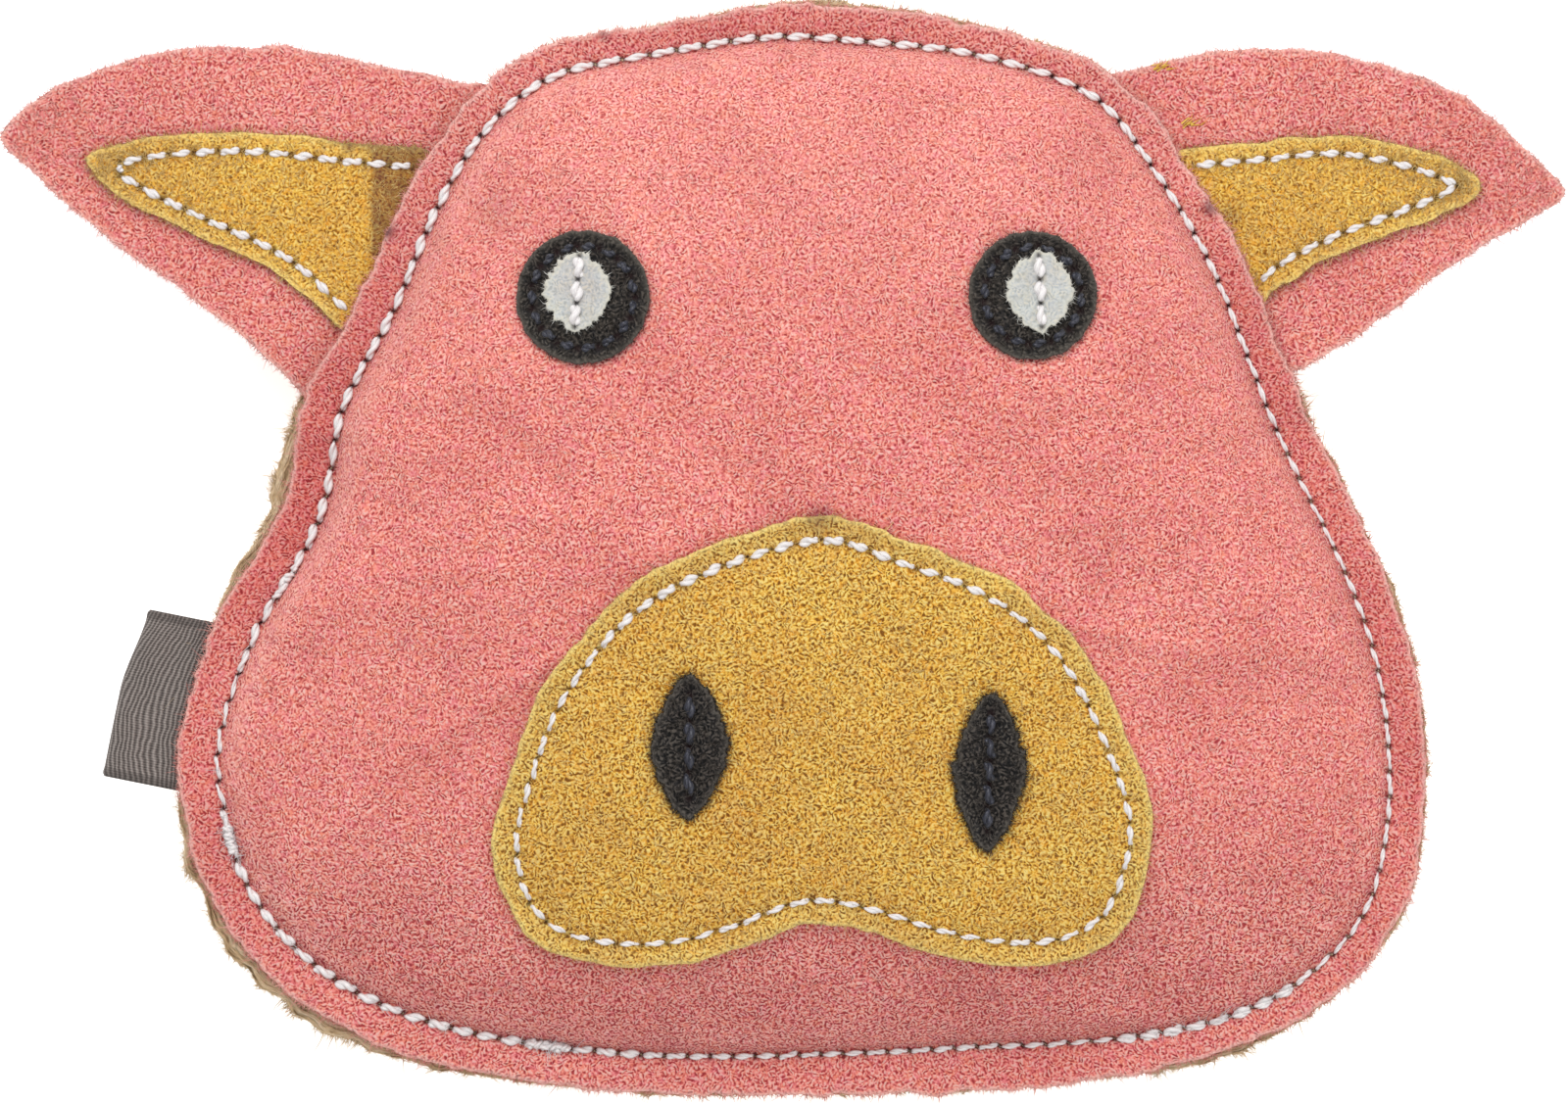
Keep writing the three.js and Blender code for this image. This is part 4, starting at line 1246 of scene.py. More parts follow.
def face_panel():
    """The face: its height less the puckers, the groove under the thread and the needle holes."""
    x, y, past_seam, to_edge, from_hole = panel_grid(6, lambda angle: ragged(angle, 5))
    off_row, inside, turn = past_seam - THREAD_SEAT, past_seam < 0, np.arctan2(y, x)
    pit = bell(np.hypot(from_hole * MEAN_PITCH, off_row), HOLE_SIZE)
    groove = bell(off_row, 0.75)
    top = face_top(x, y) + flange_wave(x, y, past_seam) - puckers(x, y, past_seam, from_hole)
    top = top - 0.3 * groove - HOLE_DEPTH * pit
    bottom = top - FACE_LEATHER + HOLE_DEPTH * pit * 0.4
    # a pale band just inside the seam, strongest towards the upper left: partly leather worn smooth, partly
    # painted sheen on the side towards the light
    strip = bell(past_seam + 1.6, 1.5) * inside * (0.6 + 0.4 * np.cos(turn - WORN_AND_SHEEN_SIDE))
    # rougher nap below the snout: a deeper relief, and a stronger contrast of colour that is partly painted
    # shading of that relief on the slope
    uneven = 0.1 - 0.1 * smoothstep(y, 0, 40) + 0.6 * smoothstep(-y, 26, 54)
    # painted shade under the snout, partly the chin's own darker nap
    chin = CHIN_SHADE * bell(y - CHIN, CHIN_WIDTH)
    # the flange darker and redder: partly its darker dye, partly painted shadow of the dome
    flange = smoothstep(past_seam, -0.2, 0.8) * np.minimum(1, 0.15 + sum(lobes(turn, SHADES)))
    return leather(
        "face_suede", *two_sides(x, y, top, bottom, to_edge, 0.4), True,
        unrolled(x, y, face_top(x, y)),
        pit=np.clip(1.1 * pit + 0.2 * groove * np.cos(np.pi * from_hole) ** 4, 0, 1),
        cut=bell(to_edge, 0.4), stain=marks(x, y, MARKS),
        # painted light: the sheen band inside the seam, which is partly worn leather, and the face paler towards
        # the top
        smooth=np.maximum(0.7 * strip, 0.22 * smoothstep(y, 12, 45)),
        rough=np.where(inside, uneven, 0.3) - 0.2 * strip, flange=np.where(inside, chin, flange),
    )


on_head(face_panel(), "pink_suede", PINK, ["face_panel"])

# %% Fibres of the face
face_edge = from_polar(all_round, edge_radius(all_round) + ragged(all_round, 5))


def flange_top(x, y):
    past = np.hypot(x, y) - seam_radius(np.arctan2(y, x))
    return face_top(x, y) + flange_wave(x, y, past)


on_head(fringe("face_fringe", face_edge, flange_top, FACE_LEATHER, 18, 0.5, 41), "pink_suede",
        PINK_FIBRE)
nap_roots = scattered(21000, 43, [76, 67], lambda x, y: seam_share(x, y) < 0.985)
on_head(lying("face_nap", nap_roots, face_top, 0.9, 44), "pink_suede", PINK_FIBRE)

# %% [markdown]
# ## The seam
#
# The row runs all round the head, through both panels and what is sewn in between. The stretch at
# the lower left, through which the head was filled, was closed last, and at the lower right the row
# was gone over twice. The thread could be one swept curve, but the seam pulls it in here and lets
# it swell there, so each stitch gets its own thickness.

# %% Seam stitches
CLOSING = np.radians([183, 247])
BACK_TACK = np.radians([302, 318.5])
BESIDE_ROW = 0.4  # mm that the back tack lies outside the row
FAT_TURNS = np.radians([0, 28, 60, 90, 130, 180, 188, 192, 202, 206, 235, 248, 256, 276, 290,
                        300, 303, 308, 310, 312, 317, 320, 335])
FATNESS = [0.62, 0.76, 0.95, 1.0, 1.12, 1.2, 1.15, 0.62, 0.62, 1.15, 1.26, 1.1, 0.74, 0.74, 0.8,
           0.66, 1.1, 1.05, 0.7, 1.05, 1.1, 0.62, 0.62]
seam_holes, seam_count = walk(stitch_loop, stitch_pitch, 1, closed=True)
hole_angle = np.arctan2(seam_holes[:, 1], seam_holes[:, 0]) % (2 * np.pi)


def between(angles, ends):
    return (angles > ends[0]) & (angles < ends[1])


def fatness(holes):
    """How thick the thread lies, by direction from the middle."""
    return np.interp(np.arctan2(holes[:, 1], holes[:, 0]), FAT_TURNS, FATNESS, period=2 * np.pi)


def seam_level(x, y):
    return flange_top(x, y) - 0.22


def back_level(x, y):
    return back_bottom(x, y) + 0.12


closing_holes = seam_holes[between(hole_angle, CLOSING)]
first_closed = int(np.argmax(between(hole_angle, CLOSING)))
open_holes = np.roll(seam_holes, -(first_closed + len(closing_holes) - 1), 0)
open_holes = open_holes[: seam_count - len(closing_holes) + 2]
tack_holes = seam_holes[between(hole_angle, BACK_TACK)]
beside_row = tack_holes * (1 + BESIDE_ROW / np.linalg.norm(tack_holes, axis=1, keepdims=True))

sewn("seam_stitches", open_holes, seam_level, ["seam_thread"], thick=fatness(open_holes))
sewn("closing_stitches", closing_holes, seam_level, ["closing_thread"],
     thick=fatness(closing_holes), slant=0.2, seed=6)
sewn("back_tack", beside_row, seam_level, slant=0.05, seed=7, thick=0.8 * fatness(tack_holes),
     gap=0.5)
sewn("seam_bobbin_stitches", open_holes, back_level, ["seam_bobbin_thread"], up=-1, seed=8)
sewn("closing_bobbin_stitches", closing_holes, back_level, ["closing_bobbin_thread"], up=-1,
     thick=1.18, seed=9)
print(seam_count, "stitches round the seam")

# %% [markdown]
# ## Knots and loose ends
#
# Where the closing thread starts and ends, it is wound over itself, and fine ends stick out. A knot
# could be tied as a curve through itself, but this small it only shows as a thick place. So each is
# a zigzag of stitches from side to side, with wisps lying over it.

# %% Where the closing thread is tied off
TANGLES = {  # direction in degrees, length and width in millimetres, turns, thickness
    "knot": (206.8, 3.0, 1.5, 6, 0.95), "thick_spot": (242.9, 4.6, 1.1, 6, 1.3),
    "double_start": (183.5, 4.0, 0.7, 4, 1.0),
}
WISPS = 70  # to each place where they stick out


def tangle(name, at, length, width, turns, thick, seed):
    """Thread wound to and fro over the row, as a zigzag of stitches."""
    angle = math.radians(at)
    spread = np.linspace(-0.5, 0.5, turns + 1) * length / seam_radius(angle)
    side = width / 2 * (-1.0) ** np.arange(turns + 1)
    holes = from_polar(angle + spread, seam_radius(angle + spread) + THREAD_SEAT + side)
    sewn(name, holes, lambda x, y: seam_level(x, y) + 0.32, thick=thick, slant=0.0, seed=seed,
         gap=0.0)


def wisps():
    """Fine fibres that lie on the row: crowded at two tangles, and spread over two stretches."""
    draw = np.random.default_rng(96)
    at_knot, at_spot = TANGLES["knot"][0], TANGLES["thick_spot"][0]
    turn = np.radians(np.concatenate([
        at_knot + 1.2 * draw.normal(size=WISPS), draw.uniform(180, 247, WISPS),
        at_spot + 1.3 * draw.normal(size=WISPS), draw.uniform(305, 318, WISPS)]))
    off_row = 0.25 * draw.normal(size=len(turn))
    roots = from_polar(turn, seam_radius(turn) + THREAD_SEAT + off_row)
    return lying("thread_wisps", roots, lambda x, y: seam_level(x, y) + 0.5, 1.5, 97, width=0.08,
                 rise=0.1)


for number, (name, measures) in enumerate(TANGLES.items()):
    tangle(name, *measures, seed=90 + number)
on_head(wisps(), "white_thread", WHITE_FIBRE)

# %% [markdown]
# ## The back panel
#
# Coarse jute in plain weave, about five threads to the centimetre, whose frayed edge shows beyond
# the pink one. Modelled threads would take millions of faces on a side that is seldom seen. So the
# weave is a pattern on the piece's own coordinates: two sets of round threads that take turns on
# top, each with hairs drawn out along it.

# %% The weave of the jute
YARN_RISE = 0.45  # how much higher a thread lies where it passes over, in half widths
YARN_LENGTHWISE = 0.12  # how much a thread's hairs change along it, against across it
FRAY_LENGTHWISE = 11.0  # mm of noise that the whole radius takes, so that it is drawn out


def yarn(tree, place, over):
    """A thread's height: a half circle across each whole number, higher where it passes over."""
    centred = times(tree, maths(tree, "SUBTRACT", maths(tree, "FRACT", place), 0.5), 2.0)
    half_circle = maths(tree, "SQRT", maths(tree, "SUBTRACT", 1.02, times(tree, centred, centred)))
    return plus(tree, half_circle, times(tree, over, YARN_RISE))


def weave_height(tree, bent, pitch_mm):
    """Plain weave: warp and weft take turns on top by a chequerboard, and have lengthwise hairs."""
    scaled = vector_maths(tree, "MULTIPLY", bent, (1 / (pitch_mm * MM),) * 3)
    parts = add(tree, "SeparateXYZ", {0: scaled}).outputs
    total = plus(tree, maths(tree, "FLOOR", parts[0]), maths(tree, "FLOOR", parts[1]))
    turn = maths(tree, "MODULO", maths(tree, "ABSOLUTE", total), 2.0)
    warp = yarn(tree, parts[0], turn)
    weft = yarn(tree, parts[1], maths(tree, "SUBTRACT", 1.0, turn))
    along_warp = vector_maths(tree, "MULTIPLY", bent, (1.0, YARN_LENGTHWISE, 1.0))
    along_weft = vector_maths(tree, "MULTIPLY", bent, (YARN_LENGTHWISE, 1.0, 1.0))
    warp_hairs, weft_hairs = (noise(tree, vector, 0.22, detail=3.0, rough=0.7)
                              for vector in (along_warp, along_weft))
    hairs = either(tree, maths(tree, "GREATER_THAN", warp, weft), weft_hairs, warp_hairs)
    weave = plus(tree, maths(tree, "MAXIMUM", warp, weft), times(tree, hairs, 1.1))
    return maths(tree, "SUBTRACT", weave, 0.3)


def fray_height(tree, coordinates, from_edge):
    """Loose fibres that lie along the edge: noise of the direction from the middle and of the
    distance from the edge, which draws it out round the piece."""
    outward = add(tree, "VectorMath", {0: coordinates}, operation="NORMALIZE").outputs[0]
    round_edge = vector_maths(tree, "MULTIPLY", outward, (FRAY_LENGTHWISE * MM,) * 3)
    across_edge = add(tree, "CombineXYZ", {2: times(tree, from_edge, MM)}).outputs[0]
    drawn_out = vector_maths(tree, "ADD", round_edge, across_edge)
    loose = noise(tree, drawn_out, 0.5, detail=3.0, rough=0.65)
    return stretch(tree, loose, 0.3, 0.7, 0.7, 1.9)


print("a thread that passes over another lies", YARN_RISE, "of its half width higher")

# %% Jute
def jute(name, pitch_mm, dark, low, high):
    """Woven cloth whose weave gives way to loose fibres towards its cut edge."""
    material, tree = tree_of(name)
    coordinates, bent = bent_coordinates(tree, 4.0, 0.45)
    from_edge = attribute(tree, "from_edge")
    weave, loose = weave_height(tree, bent, pitch_mm), fray_height(tree, coordinates, from_edge)
    height = either(tree, stretch(tree, from_edge, 2.2, 4.2, 1.0, 0.0), weave, loose)
    colour = ramp(tree, stretch(tree, height, 0.75, 1.75), [(0.0, dark), (0.35, low), (0.9, high)])
    slubs = noise(tree, coordinates, 4.0, detail=3.0)
    colour = mix(tree, stretch(tree, slubs, 0.5, 0.75, 0.0, 0.4), colour, linear(232, 204, 164))
    finish(tree, colour, 0.9, height, 0.5, Specular_IOR_Level=0.15)
    return material


JUTE_CLOTH = jute("jute", 2.0, linear(128, 100, 68), linear(214, 182, 140), linear(246, 222, 186))
print("cloth:", JUTE_CLOTH.name)

# %% Back panel
OVERHANGS = [  # where the jute shows beyond the pink: direction and spread in degrees, millimetres
    (174, 12, 1.5), (219, 17, 1.6), (308, 8, 0.6), (345, 14, 0.35), (10, 9, 0.35), (27, 5, 0.9),
    (84, 9, 0.4),
]
JUTE_HOLE = math.sqrt(0.3)


def overhang(angle):
    """How far the cloth's edge is outside the leather's: the lobes, ragged by smaller waves."""
    uneven = 1 + 0.22 * waves(*round_head(angle), 4, 95)
    return np.max(lobes(angle, OVERHANGS), 0) * uneven + 0.7 * ragged(angle, 91)


def back_panel():
    """The back: its depth, drawn in under the thread and at the needle holes."""
    x, y, past_seam, to_edge, from_hole = panel_grid(5, overhang)
    off_row = past_seam - THREAD_SEAT
    pit = bell(np.hypot(from_hole * MEAN_PITCH, off_row), JUTE_HOLE)
    groove = bell(off_row, 0.9)
    bottom = back_bottom(x, y) + 0.25 * groove + 0.4 * pit + flange_wave(x, y, past_seam) * 0.7
    sides = two_sides(x, y, bottom + JUTE, bottom, to_edge, 0.45)
    return leather("back_jute", *sides, True, unrolled(x, y, bottom), from_edge=to_edge)


back = on_head(back_panel(), "jute", JUTE_CLOTH, ["back_panel"])
outline_area = 0.5 * np.sum(edge_radius(all_round) ** 2) * 2 * np.pi / len(all_round)

# %% Frayed edge of the jute
TUFTS = [167, 172.5, 178, 188.8, 207.5, 222, 227, 304, 311, 18.5, 16, 87]  # degrees
PER_TUFT = 46


def tufts():
    """Tufts of jute that stick out of the edge."""
    draw = np.random.default_rng(61)
    turn = np.repeat(np.radians(TUFTS), PER_TUFT)
    turn = turn + 0.011 * draw.normal(size=len(turn))
    flat = from_polar(turn, edge_radius(turn) + overhang(turn) - 0.2)
    z = back_bottom(*flat.T) + JUTE * draw.uniform(0.2, 1.1, len(turn))
    lean_of_tuft = np.repeat(draw.uniform(-1, 1, len(TUFTS)), PER_TUFT)
    way = from_polar(turn + lean_of_tuft + 0.35 * draw.normal(size=len(turn)), 1.0)
    way = np.column_stack([way, 0.2 * draw.normal(size=len(turn))])
    lengths = 1.1 * draw.lognormal(-0.1, 0.3, len(turn))
    return fibres("jute_tufts", np.column_stack([flat, z]), way, lengths, 0.13, 0.35, 62)


back_edge = from_polar(all_round, edge_radius(all_round) + overhang(all_round))
on_head(fringe("jute_fray", back_edge, lambda x, y: back_bottom(x, y) + JUTE + 0.1, JUTE, 20,
               0.6, 47, width=0.12, spread=1.0, lie=0.95), "jute", JUTE_FIBRE)
on_head(tufts(), "jute", JUTE_FIBRE)

# %% [markdown]
# ## What the filling looks like
#
# Nothing of the fibre shows while the toy is whole. It could be thousands of loose curls, which
# nobody would see, so it is the skin of the stuffed bag in the colour of matted fibre, clear of
# both panels and closed at the middle of the face and of the back.

# %% Filling
SKIN_CLEAR = 0.9  # mm between the filling and the panels
SEAM_CLEAR = 0.985  # the filling's size, as a share of the space inside the seam


def filling_material(name):
    """White polyester fibre, matted."""
    material, tree = tree_of(name)
    matted = noise(tree, own_place(tree), 1.2, detail=4.0, rough=0.7)
    colour = ramp(tree, matted, [(0.3, linear(206, 204, 198)), (0.7, linear(250, 249, 245))])
    finish(tree, colour, 0.9, matted, 0.8)
    return material


def filling_skin(bag):
    """The bag held clear of both panels, with its first and last ring drawn to their middles."""
    inward = bag.copy()
    face_rows, back_rows = inward[:BAG_RINGS], inward[BAG_RINGS:]
    face_under = face_top(face_rows[..., 0], face_rows[..., 1]) - FACE_LEATHER - SKIN_CLEAR
    back_over = back_bottom(back_rows[..., 0], back_rows[..., 1]) + JUTE + SKIN_CLEAR
    face_rows[..., 2] = np.maximum(0, np.minimum(face_rows[..., 2], face_under))
    back_rows[..., 2] = np.minimum(0, np.maximum(back_rows[..., 2], back_over))
    inward[..., :2] *= SEAM_CLEAR
    faces, _, _ = quads(len(inward) + 2, BAG_COLUMNS, True)
    caps = [np.broadcast_to(row.mean(0), row.shape)[None] for row in (inward[0], inward[-1])]
    points = np.concatenate([caps[0], inward, caps[1]]).reshape(-1, 3)
    return welded(new_mesh("filling", points, faces[:, ::-1]))


MATTED_FIBRE = filling_material("fibre_filling")
filling = on_head(filling_skin(bag), "fibre_filling", MATTED_FIBRE, ["stuffing"])

# %% [markdown]
# ## The patches on the face
#
# The snout, the eyes, their pale spots and the nostrils are cut from flat leather and stitched
# down. Each could be dropped on the face as a cloth, with a simulation for every patch. Here it is
# a polar grid about its own middle, laid on whatever carries it.

# %% Patches
EDGE_RINGS = (0.975, 0.985, 0.993, 0.998, 1)
RIM_SLOPE = 0.95  # a distance along a ray from the middle, as a distance from a slanting rim
PATCH_DENT = 0.55
PATCH_ROUND = 8  # mm round which a patch's stray edge is drawn from the same waves


def rings(count):
    """Shares of the way to a patch's rim, crowded where its cut edge turns."""
    return np.concatenate([np.linspace(0, 0.96, count), EDGE_RINGS])


def patch(name, middle, angle, edge, top, thickness, holes, rings, kind, node, per_mm, seed,
          flecks=(), groove=0.0, raw=0.2, hole_size=HOLE_SIZE, rim_pale=0.0, rough=0.0, shed=0.3):
    """A stitched-down patch, from its edge as a distance from its middle in each direction, the
    height of its outer side and its needle holes. Its rim outside the stitches may be paler."""
    slot, material, fibre = kind
    round_it = PATCH_ROUND * from_polar(angle, 1.0).T
    rim = edge + raw * (waves(*round_it, 2.4, seed) + 0.5 * waves(*round_it, 0.8, seed + 1))
    radius = np.asarray(rings)[:, None] * rim
    x, y = np.moveaxis(from_polar(angle, radius), -1, 0) + np.asarray(middle)[:, None, None]
    to_edge = (rim - radius) * RIM_SLOPE
    hole = nearest(x, y, holes)
    pit = bell(hole, hole_size)
    dent = PATCH_DENT * pit + bell(hole, 1.2) * groove
    level = top(x, y)
    stain = np.maximum(marks(x, y, flecks), specks(x, y, to_edge, seed)) if len(flecks) else 0.0
    piece = leather(
        name, *two_sides(x, y, level - dent, level - thickness * lean(x, y), to_edge, 0.4), True,
        pit=np.clip(pit, 0, 1), cut=bell(to_edge, 0.45), stain=stain, rough=rough,
        smooth=rim_pale * smoothstep(-to_edge, -SNOUT_INSET, 0.8 - SNOUT_INSET),
    )
    on_head(piece, slot, material, [node])
    line = np.asarray(middle) + from_polar(angle, rim)
    on_head(fringe(f"{name}_fringe", line, top, thickness, per_mm, shed, seed + 2), slot, fibre)


print("rings of the snout:", len(rings(64)))

# %% Snout
SNOUT_PITCH = 3.05
SNOUT_FAT_TURNS = [0, 50, 75, 95, 115, 180, 240, 300]
SNOUT_FATNESS = [0.9, 0.95, 1.15, 1.05, 1.2, 0.82, 0.78, 0.8]
SNOUT_MARKS = [(27, -46, 1.2, 0.16), (-20, -8, 0.8, 0.14), (36, -30, 0.7, 0.2), (2, 3.6, 1.6, 0.5),
               (-37.6, -22, 0.7, 0.5), (-36.6, -30, 0.5, 0.5)]
snout_holes, snout_count = walk(snout_line, SNOUT_PITCH, 1, closed=True)
snout_columns, _ = walk(snout_line, SNOUT_PITCH, 7, closed=True)
snout_angle = np.arctan2(snout_columns[:, 1], snout_columns[:, 0])
snout_fat = np.interp(np.degrees(np.arctan2(snout_holes[:, 1], snout_holes[:, 0])) % 360,
                      SNOUT_FAT_TURNS, SNOUT_FATNESS, period=360)


def on_snout(x, y):
    """Whether a place, from the snout's own middle, is well on the snout."""
    return past_snout(x + SNOUT_MIDDLE[0], y + SNOUT_MIDDLE[1], snout_radius) < -0.3


patch("snout_suede", SNOUT_MIDDLE, snout_angle, snout_radius(snout_angle), snout_top,
      PATCH_LEATHER, snout_holes + SNOUT_MIDDLE, rings(64), OCHRE_KIND, "snout_patch", 12, 101,
      SNOUT_MARKS, groove=0.12, rim_pale=0.5, rough=0.32)
sewn("snout_stitches", snout_holes + SNOUT_MIDDLE, lambda x, y: snout_top(x, y) - 0.12,
     ["snout_thread"], closed=True, thick=snout_fat, seed=12, gap=0.3)
snout_nap = scattered(7500, 57, SNOUT_SIZE / 2, on_snout)
on_head(lying("snout_nap", snout_nap + SNOUT_MIDDLE, snout_top, 0.8, 58), "ochre_suede",
        OCHRE_FIBRE)
print(snout_count, "stitches round the snout")

# %% [markdown]
# ## Eyes and nostrils
#
# Each eye is a black leather disc in a ring of stitches, with a pale leaf tacked on it, and each
# nostril is a black leaf. A leaf could be drawn point by point as the outlines are, but it is a
# plain shape between a rhombus and an ellipse, so one formula and one power say it all.

# %% Leaves and their tacks
EYE_PITCH, TACK_PITCH, NOSTRIL_PITCH = 2.7, 2.8, 3.0
SPOT_MARGIN = 0.6
LEAF = 1.4  # how far a leaf is from a rhombus, which is 1, towards an ellipse, which is 2
SPOT_LEAF = 1.5
RING_TURN = 0.3  # stitches that the right eye's ring is turned by


def row_of(middle, length, pitch, tilt):
    """Needle holes in a straight row, from its top down."""
    count = max(2, round(length / pitch)) + 1
    turn = math.radians(tilt)
    along = np.linspace(0.5, -0.5, count)[:, None] * length
    return np.asarray(middle) + along * np.array([math.sin(turn), math.cos(turn)])


def leaf(angle, length, width, tilt, power=LEAF):
    """A pointed leaf: the distance at which the shares of half its width and of half its length,
    each to the given power, add up to 1."""
    turned = angle + math.radians(tilt)
    across, lengthwise = np.abs(np.cos(turned)) * 2 / width, np.abs(np.sin(turned)) * 2 / length
    return (across**power + lengthwise**power) ** (-1 / power)


print(f"on the diagonal a leaf reaches {leaf(math.pi / 4, 2, 2, 0):.2f} of a circle's radius")

# %% Eyes and their spots
def eye_disc(side, eye, number):
    """The black disc, its ring of stitches and the felt on it."""
    at, radius = np.array(eye["at"]), eye["radius"]
    stitch_radius = radius - EYE_STITCH_INSET
    count = round(2 * np.pi * stitch_radius / EYE_PITCH)
    first = RING_TURN * number
    holes = at + from_polar(2 * np.pi * (np.arange(count) + first) / count, stitch_radius)
    turns = 2 * np.pi * (np.arange(count * 8) / 8 + first) / count
    patch(f"{side}_eye_disc", at, turns, np.full(len(turns), radius), eye_top, DISC, holes,
          rings(26), BLACK_KIND, f"{side}_eye", 9, 130 + number, groove=0.22, raw=0.07,
          hole_size=0.5)
    sewn(f"{side}_eye_stitches", holes, lambda x, y: eye_top(x, y) - 0.2, [f"{side}_eye_thread"],
         BLACK_THREAD, closed=True, thick=1.1, seed=20 + number, gap=0.75)
    shag = scattered(900, 140 + number, [8, 8], lambda x, y: np.hypot(x, y) < radius - 0.2)
    on_head(lying(f"{side}_eye_nap", shag + at, eye_top, 0.7, 142 + number, rise=0.2),
            "black_leather", BLACK_FIBRE)


def eye_spot(side, eye, number):
    """The pale leaf on the disc, and the white row down its middle."""
    at = np.add(eye["at"], eye["spot"])
    turns = np.linspace(0, 2 * np.pi, 120, endpoint=False)
    edge = leaf(turns, SPOT_LENGTH, SPOT_WIDTH, 0, SPOT_LEAF)
    tacks = row_of(at, SPOT_LENGTH - 2 * SPOT_MARGIN, TACK_PITCH, eye["tacks_lean"])
    patch(f"{side}_spot", at, turns, edge, spot_top, SPOT, tacks, rings(18), GREY_KIND,
          f"{side}_highlight", 14, 150 + number)
    sewn(f"{side}_spot_stitches", tacks, lambda x, y: spot_top(x, y) - 0.05,
         [f"{side}_highlight_thread"], thick=1.45, slant=0.1, seed=30 + number)


for number, (side, eye) in enumerate(EYES.items()):
    eye_disc(side, eye, number)
    eye_spot(side, eye, number)

# %% Nostrils
def nostril_leaf(side, nostril, number):
    """The black leaf, the shag on it and the row of black tacks down its middle."""
    at, length, width, tilt = (nostril[key] for key in ("at", "length", "width", "tilt"))
    turns = np.linspace(0, 2 * np.pi, 144, endpoint=False)
    tacks = row_of(at, length - 2 * NOSTRIL_MARGIN, NOSTRIL_PITCH, tilt)
    patch(f"{side}_nostril_leaf", at, turns, leaf(turns, length, width, tilt), nostril_top, DISC,
          tacks, rings(26), BLACK_KIND, f"{side}_nostril", 34, 170 + number, groove=0.35,
          hole_size=0.5, rough=0.4, shed=0.5)
    shag = scattered(700, 180 + number, [5, 9.5], lambda x, y: np.hypot(x, y) < leaf(
        np.arctan2(y, x), length, width, tilt))
    on_head(lying(f"{side}_nostril_nap", shag + at, nostril_top, 0.9, 182 + number, rise=0.3),
            "black_leather", BLACK_FIBRE)
    sewn(f"{side}_nostril_stitches", tacks, lambda x, y: nostril_top(x, y) - 0.25,
         [f"{side}_nostril_thread"], BLACK_THREAD, thick=1.25, slant=0.3, seed=40 + number, gap=0.2)


for number, (side, nostril) in enumerate(NOSTRILS.items()):
    nostril_leaf(side, nostril, number)

# %% [markdown]
# ## The ears
#
# Each ear is a pink leaf with an ochre lining stitched on it, and both are sewn into the seam. A
# flat outline could be filled with triangles, but they would have no direction to bend along. So a
# grid is ruled between its two long edges, from the root under the panels to the tip. The ear folds
# at the seam in the imported model; its pieces here are not bent there.

# %% Sizes and outlines of the ears
EARS = {
    "left": {
        "reach": 48, "lining_reach": 37.5, "bend": (2.3, 6.0),
        "edge": [(1, 0), (0.89, 0.135), (0.75, 0.33), (0.59, 0.52), (0.27, 0.75), (-0.16, 0.93),
                 (-0.48, 1), (-0.615, 0.99), (-0.68, 0.875), (-0.77, 0.645), (-0.84, 0.355),
                 (-0.91, 0.155), (-1, 0)],
        "lining": [(0.52, 0.065), (0.34, 0.29), (0.115, 0.585), (-0.16, 0.84), (-0.385, 0.985),
                   (-0.48, 1), (-0.545, 0.865), (-0.525, 0.6), (-0.48, 0.29), (-0.57, 0.03)],
        "marks": [(-50.6, 38.9, 1.0, 0.8), (-55.2, 49.3, 0.8, 0.75), (-52.4, 49.2, 0.9, 0.8),
                  (-49.4, 48.9, 0.9, 0.8)],
        "stained_from": -52.6,
    },
    "right": {
        "reach": 40, "lining_reach": 32, "bend": (3.0, 6.8),
        "edge": [(1, 0), (0.895, 0.16), (0.8, 0.31), (0.54, 0.55), (0.165, 0.76), (-0.165, 0.89),
                 (-0.54, 0.96), (-0.92, 1), (-0.945, 0.81), (-0.945, 0.59), (-1.01, 0.29),
                 (-1.01, 0.06), (-1, 0)],
        "lining": [(0.425, 0.08), (0.21, 0.375), (0.025, 0.625), (-0.26, 0.84), (-0.53, 0.985),
                   (-0.635, 0.99), (-0.675, 0.935), (-0.66, 0.765), (-0.565, 0.42),
                   (-0.54, 0.17), (-0.59, 0.05)],
        "marks": [(52.2, 40.6, 1.6, 0.4)],
        "lint": [(43.2, 58.6), (46.8, 51.8)],
    },
}
ROOT_DEPTH = 6.6  # mm that the ears reach in under the panels
LINING_INSET = 2.2
EAR_LEATHER, LINING_LEATHER = 1.35, 1.1
EAR_HOLE = 0.42
EAR_MIDDLE, LINING_MIDDLE = -0.62, 0.68  # heights of the middles of their leather
WAVING_REACH = 44  # mm out, where an ear waves in full
LONG_EDGE_SHARES = [0, 0.006, 0.016, 0.03, 0.05, 0.08]  # of the way in from a long edge
TIP_SHARES = [0.965, 0.978, 0.988, 0.995, 1]
ROOT_ROWS, EAR_ROWS, LINING_ROWS = 4, 90, 100
NAP_PER_ROW = 26  # fibres of the felt to a row of the grid
print("ears reach", EARS["left"]["reach"], "and", EARS["right"]["reach"], "mm out of the head")

# %% Where an ear lies and how it bends
def from_head(insert, x, y):
    """Along and out of a piece's own frame, for places in the head's frame."""
    dx, dy = x - insert["middle"][0], y - insert["middle"][1]
    return (dx * insert["along"][0] + dy * insert["along"][1],
            dx * insert["out"][0] + dy * insert["out"][1])


def ear_wave(along, out):
    """How far an ear waves off its plane, more towards its tip."""
    far = np.clip(out / WAVING_REACH, 0, 1) ** 1.5
    return far * (0.9 * np.sin(along / 9 + 0.6) + 0.5 * np.sin(out / 7))


def ear_level(insert, middle):
    """The height of a level of the ear, which waves with it, over a place in the head's frame."""
    return lambda x, y: middle + ear_wave(*from_head(insert, x, y))


